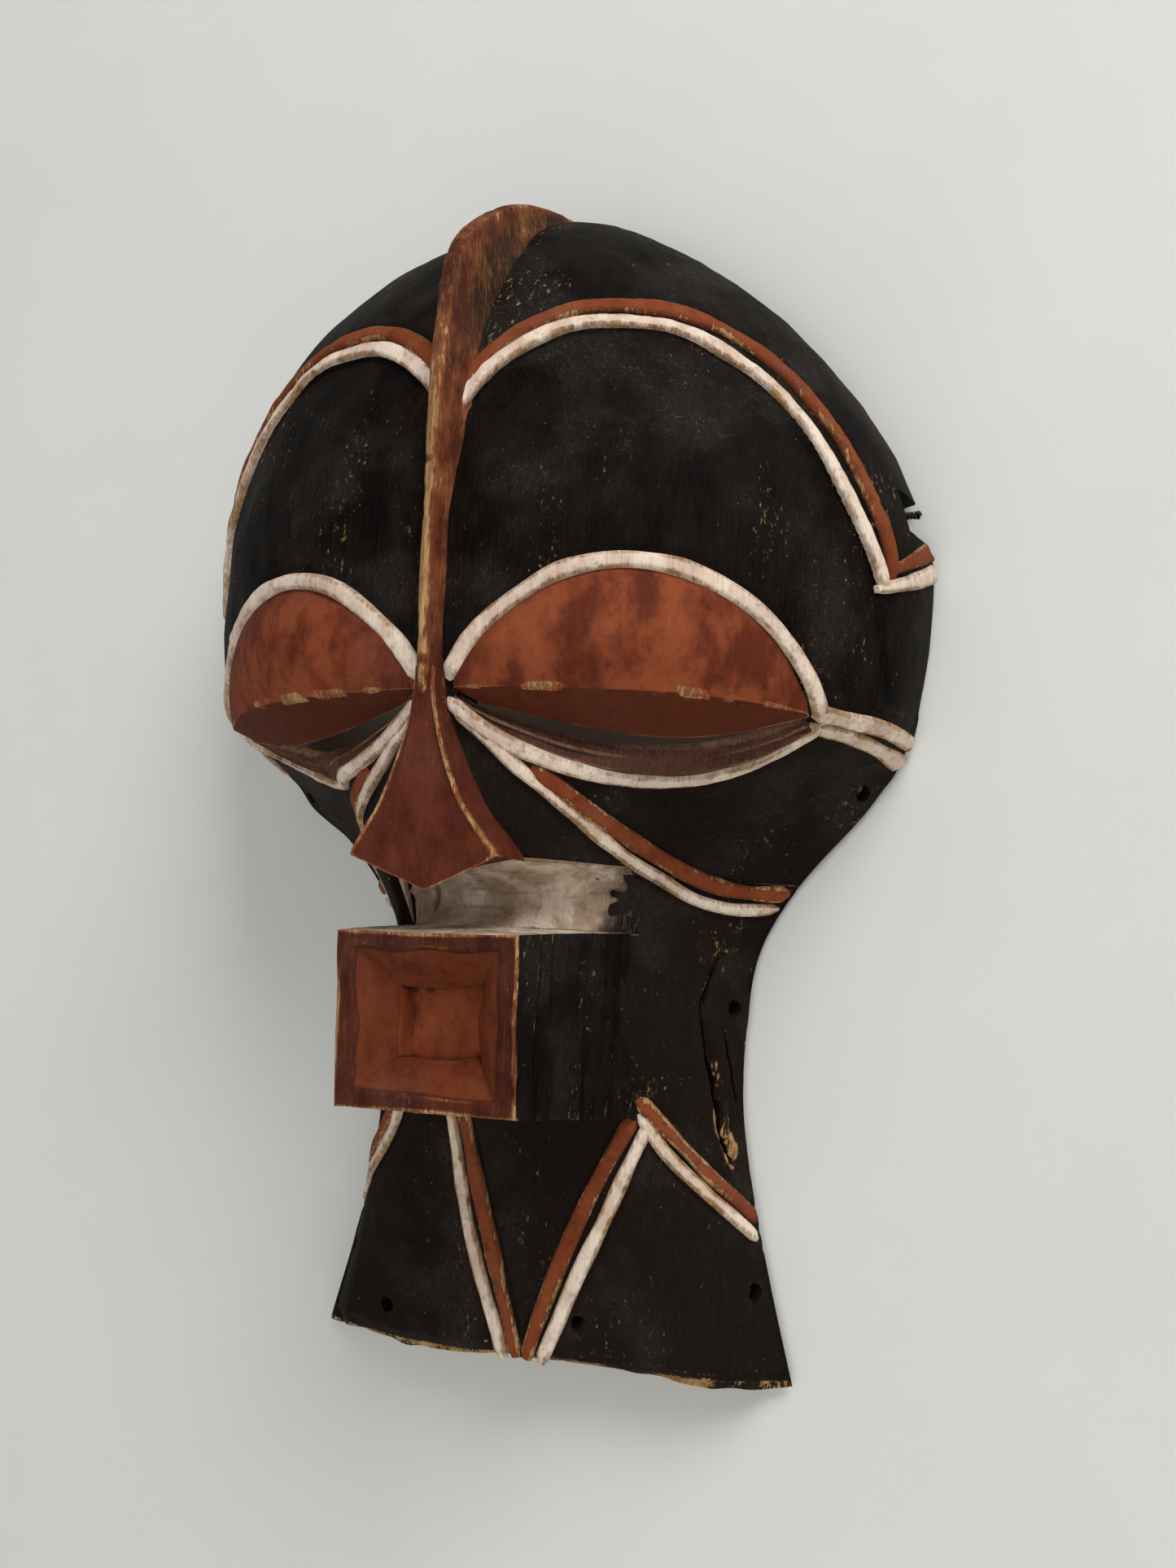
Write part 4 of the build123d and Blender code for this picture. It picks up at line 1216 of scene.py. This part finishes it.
def box_loop(half, foot, top, depth_of):
    """Ring of points round a rectangle, clockwise from its upper left corner."""
    t = np.linspace(-1, 1, PER_SIDE + 1)[:-1]
    one = np.ones(PER_SIDE)
    flat = np.concatenate([np.stack(pair, axis=1) for pair in ((t, one), (one, -t), (-t, -one), (-one, t))])
    x, z = flat[:, 0] * half, (foot + top) / 2 + flat[:, 1] * (top - foot) / 2
    return np.stack([x, depth_of(x, z), z], axis=1)


def front_plane(x, z):
    return 111.8 + 4.0 * (z - BOX_FRONT[1]) / (BOX_FRONT[2] - BOX_FRONT[1])


def mouth_box():
    middle = (BOX_ROOT[1] + BOX_ROOT[2]) / 2

    def root_plane(x, z):
        return block_depth(x, np.clip(z, 100, 164)) - 4

    rings = []
    for share in np.linspace(0.06, 0.94, ROOT_RINGS):
        foot, top = (middle + (end - middle) * share for end in BOX_ROOT[1:])
        rings.append(box_loop(BOX_ROOT[0] * share, foot, top, root_plane))
    for t in np.linspace(0, 1, OUTER_RINGS):
        half, foot, top = (a + (b - a) * t for a, b in zip(BOX_ROOT, BOX_FRONT))
        rings.append(box_loop(
            half, foot, top, lambda x, z: root_plane(x, z) * (1 - t) + front_plane(x, z) * t,
        ))
    half, foot, top = BOX_FRONT
    inner = [
        (half - inset, foot + inset * 0.78, top - inset * 0.78, sink) for inset, sink in (
            (0.5, -0.45), (1.2, -0.6), (2.6, -0.3), (4, 0), (5.4, 0), (6.6, 0.2), (7.4, 0.7), (8.2, 1.6),
        )
    ]
    for half, foot, top, sink in inner:
        rings.append(box_loop(half, foot, top, lambda x, z: front_plane(x, z) - sink))
    for t in np.linspace(0, 1, 12)[1:]:
        rings.append(box_loop(
            27.0 - 11.6 * t, 107.0 + 10.6 * t, 155.5 - 10.6 * t,
            lambda x, z: front_plane(x, z) - 1.6 - 9.6 * t**1.2,
        ))
    for half, foot, top, sink in (
        (15, 118, 144.6, 13), (14.8, 118.2, 144.4, 16.4), (14.4, 118.6, 144, 18), (13.4, 119.6, 143, 18.5),
    ):
        rings.append(box_loop(half, foot, top, lambda x, z: front_plane(x, z) - sink))
    for t in np.linspace(0, 0.94, 9)[1:]:
        rings.append(box_loop(
            13.4 * (1 - t), 119.6 + 11.7 * t, 143 - 11.7 * t, lambda x, z: front_plane(x, z) - 18.5 - 0.5 * t,
        ))
    rings = np.array(rings)
    flat = rings.reshape(-1, 3)
    tooling = 0.42 * lattice_noise(flat, 13.0, 631) + 0.22 * lattice_noise(flat * (1, 1, 0.3), 3.0, 632)
    gouge = 0.9 * (adze_marks(flat[:, 1] * 1.3, flat[:, 2], 12, 17, 5.5) - 0.3)
    move = (tooling + 0.5 * gouge).reshape(rings.shape[:2])
    sides = np.abs(rings[..., 0]) / np.maximum(np.abs(rings[..., 0]).max(axis=1, keepdims=True), 1) > 0.995
    number = np.arange(len(rings)) - ROOT_RINGS
    outer = number < OUTER_RINGS
    for depth, deep in SIDE_CRACKS:
        line = depth + 2.2 * lattice_noise(rings * (0, 0, 1), 21.0, 640 + int(depth))
        length = step(lattice_noise(rings * (0, 0, 1), 30.0, 650 + int(depth)), -0.5, 0.0)
        gap = np.exp(-(((rings[..., 1] - line) / 0.9) ** 2))
        move -= 1.8 * deep * gap * length * outer[:, None]
    sign = np.sign(rings[..., 0])
    is_side = outer[:, None] & sides
    rings[..., 0] += np.where(is_side, sign * move, 0)
    rings[..., 2] += np.where(outer[:, None] & ~sides, np.sign(rings[..., 2] - 131) * move * 0.7, 0)
    hollow_cut = 1.1 * lattice_noise(rings, 9.0, 633) + 0.5 * lattice_noise(rings, 4.0, 634)
    within = step(number, 92, 100)[:, None]
    rings[..., 1] += np.where(~outer[:, None], move * 0.8 + hollow_cut * within, 0)
    rings[..., 0] += within * 1.5 * lattice_noise(rings, 13.0, 635)
    rings[..., 2] += within * 1.5 * lattice_noise(rings, 13.0, 636)
    points, faces = closed_tube(rings)
    ring, column = divmod(np.arange(len(faces)), rings.shape[1])
    ring -= ROOT_RINGS
    finish = np.select(
        [ring >= FLOOR_RING, ring >= BEVEL_RING, ring >= OUTER_RINGS - 1, column < PER_SIDE], [3, 2, 0, 4], 1,
    )
    # Painted shade: the bevel of the recess is darkened in ragged patches.
    shade = np.zeros(rings.shape[:2])
    shade[(number >= BEVEL_RING) & (number < FLOOR_END)] = 0.4
    carved_piece(
        "mouth_box_carving", points, faces, (box_red, black_paint, bevel_red, floor_red, lip_clay),
        node="mouth_box", slot="oxblood_paint", finish=finish, shade=shade,
    )


box_red = painted_wood(
    "mouth_frame_paint", (0.038, 0.0065, 0.003), (0.075, 0.017, 0.008), (0.24, 0.07, 0.022),
    scratched=0.15, streaks=0.2,
)
# Its shaded colour is painted shade in the recess.
bevel_red = painted_wood(
    "mouth_bevel_paint", (0.10, 0.017, 0.006), (0.21, 0.046, 0.014), (0.32, 0.09, 0.03),
    amount=0.16, streaks=0.2, shaded=(0.045, 0.008, 0.003),
)
floor_red = painted_wood(
    "mouth_floor_paint", (0.17, 0.032, 0.010), (0.24, 0.055, 0.018), (0.26, 0.08, 0.03),
    amount=0.1, dirt=0.75, streaks=0.15,
)
mouth_box()

# ---- Wire ties ----
# At each end the hanging wire is looped through the broken tie hole and twisted on itself; the
# cut tail sticks out of the rim notch.
for side, word, tie in ((1, "right", TIE_RIGHT), (-1, "left", TIE_LEFT)):
    eye = [
        (tie + 3.0 * math.cos(a), WIRE_TIE_DEPTH + 1.1 * math.sin(a / 2), WIRE_TIE_HEIGHT + 3.0 * math.sin(a))
        for a in np.linspace(0, 4 * math.pi, 48)
    ]
    strands = []
    for phase in (0, math.pi):
        for t in np.linspace(0, 1, TIE_STEPS):
            around = phase + 9 * math.pi * t
            swing = 1.0 + 0.25 * math.sin(7 * t)
            strands.append((
                tie + side * (3 + 11.5 * t), WIRE_TIE_DEPTH + swing * math.cos(around),
                WIRE_TIE_HEIGHT + 3 + swing * math.sin(around),
            ))
    loop = wire_curve(f"wire_tie_{word}_loop", eye + strands[:TIE_STEPS], WIRE_THICKNESS)
    tail = wire_curve(f"wire_tie_{word}_tail", strands[TIE_STEPS:], WIRE_THICKNESS)
    for piece in (loop, tail):
        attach(piece, "carved_block")
        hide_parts(f"wire_tie_{word}")
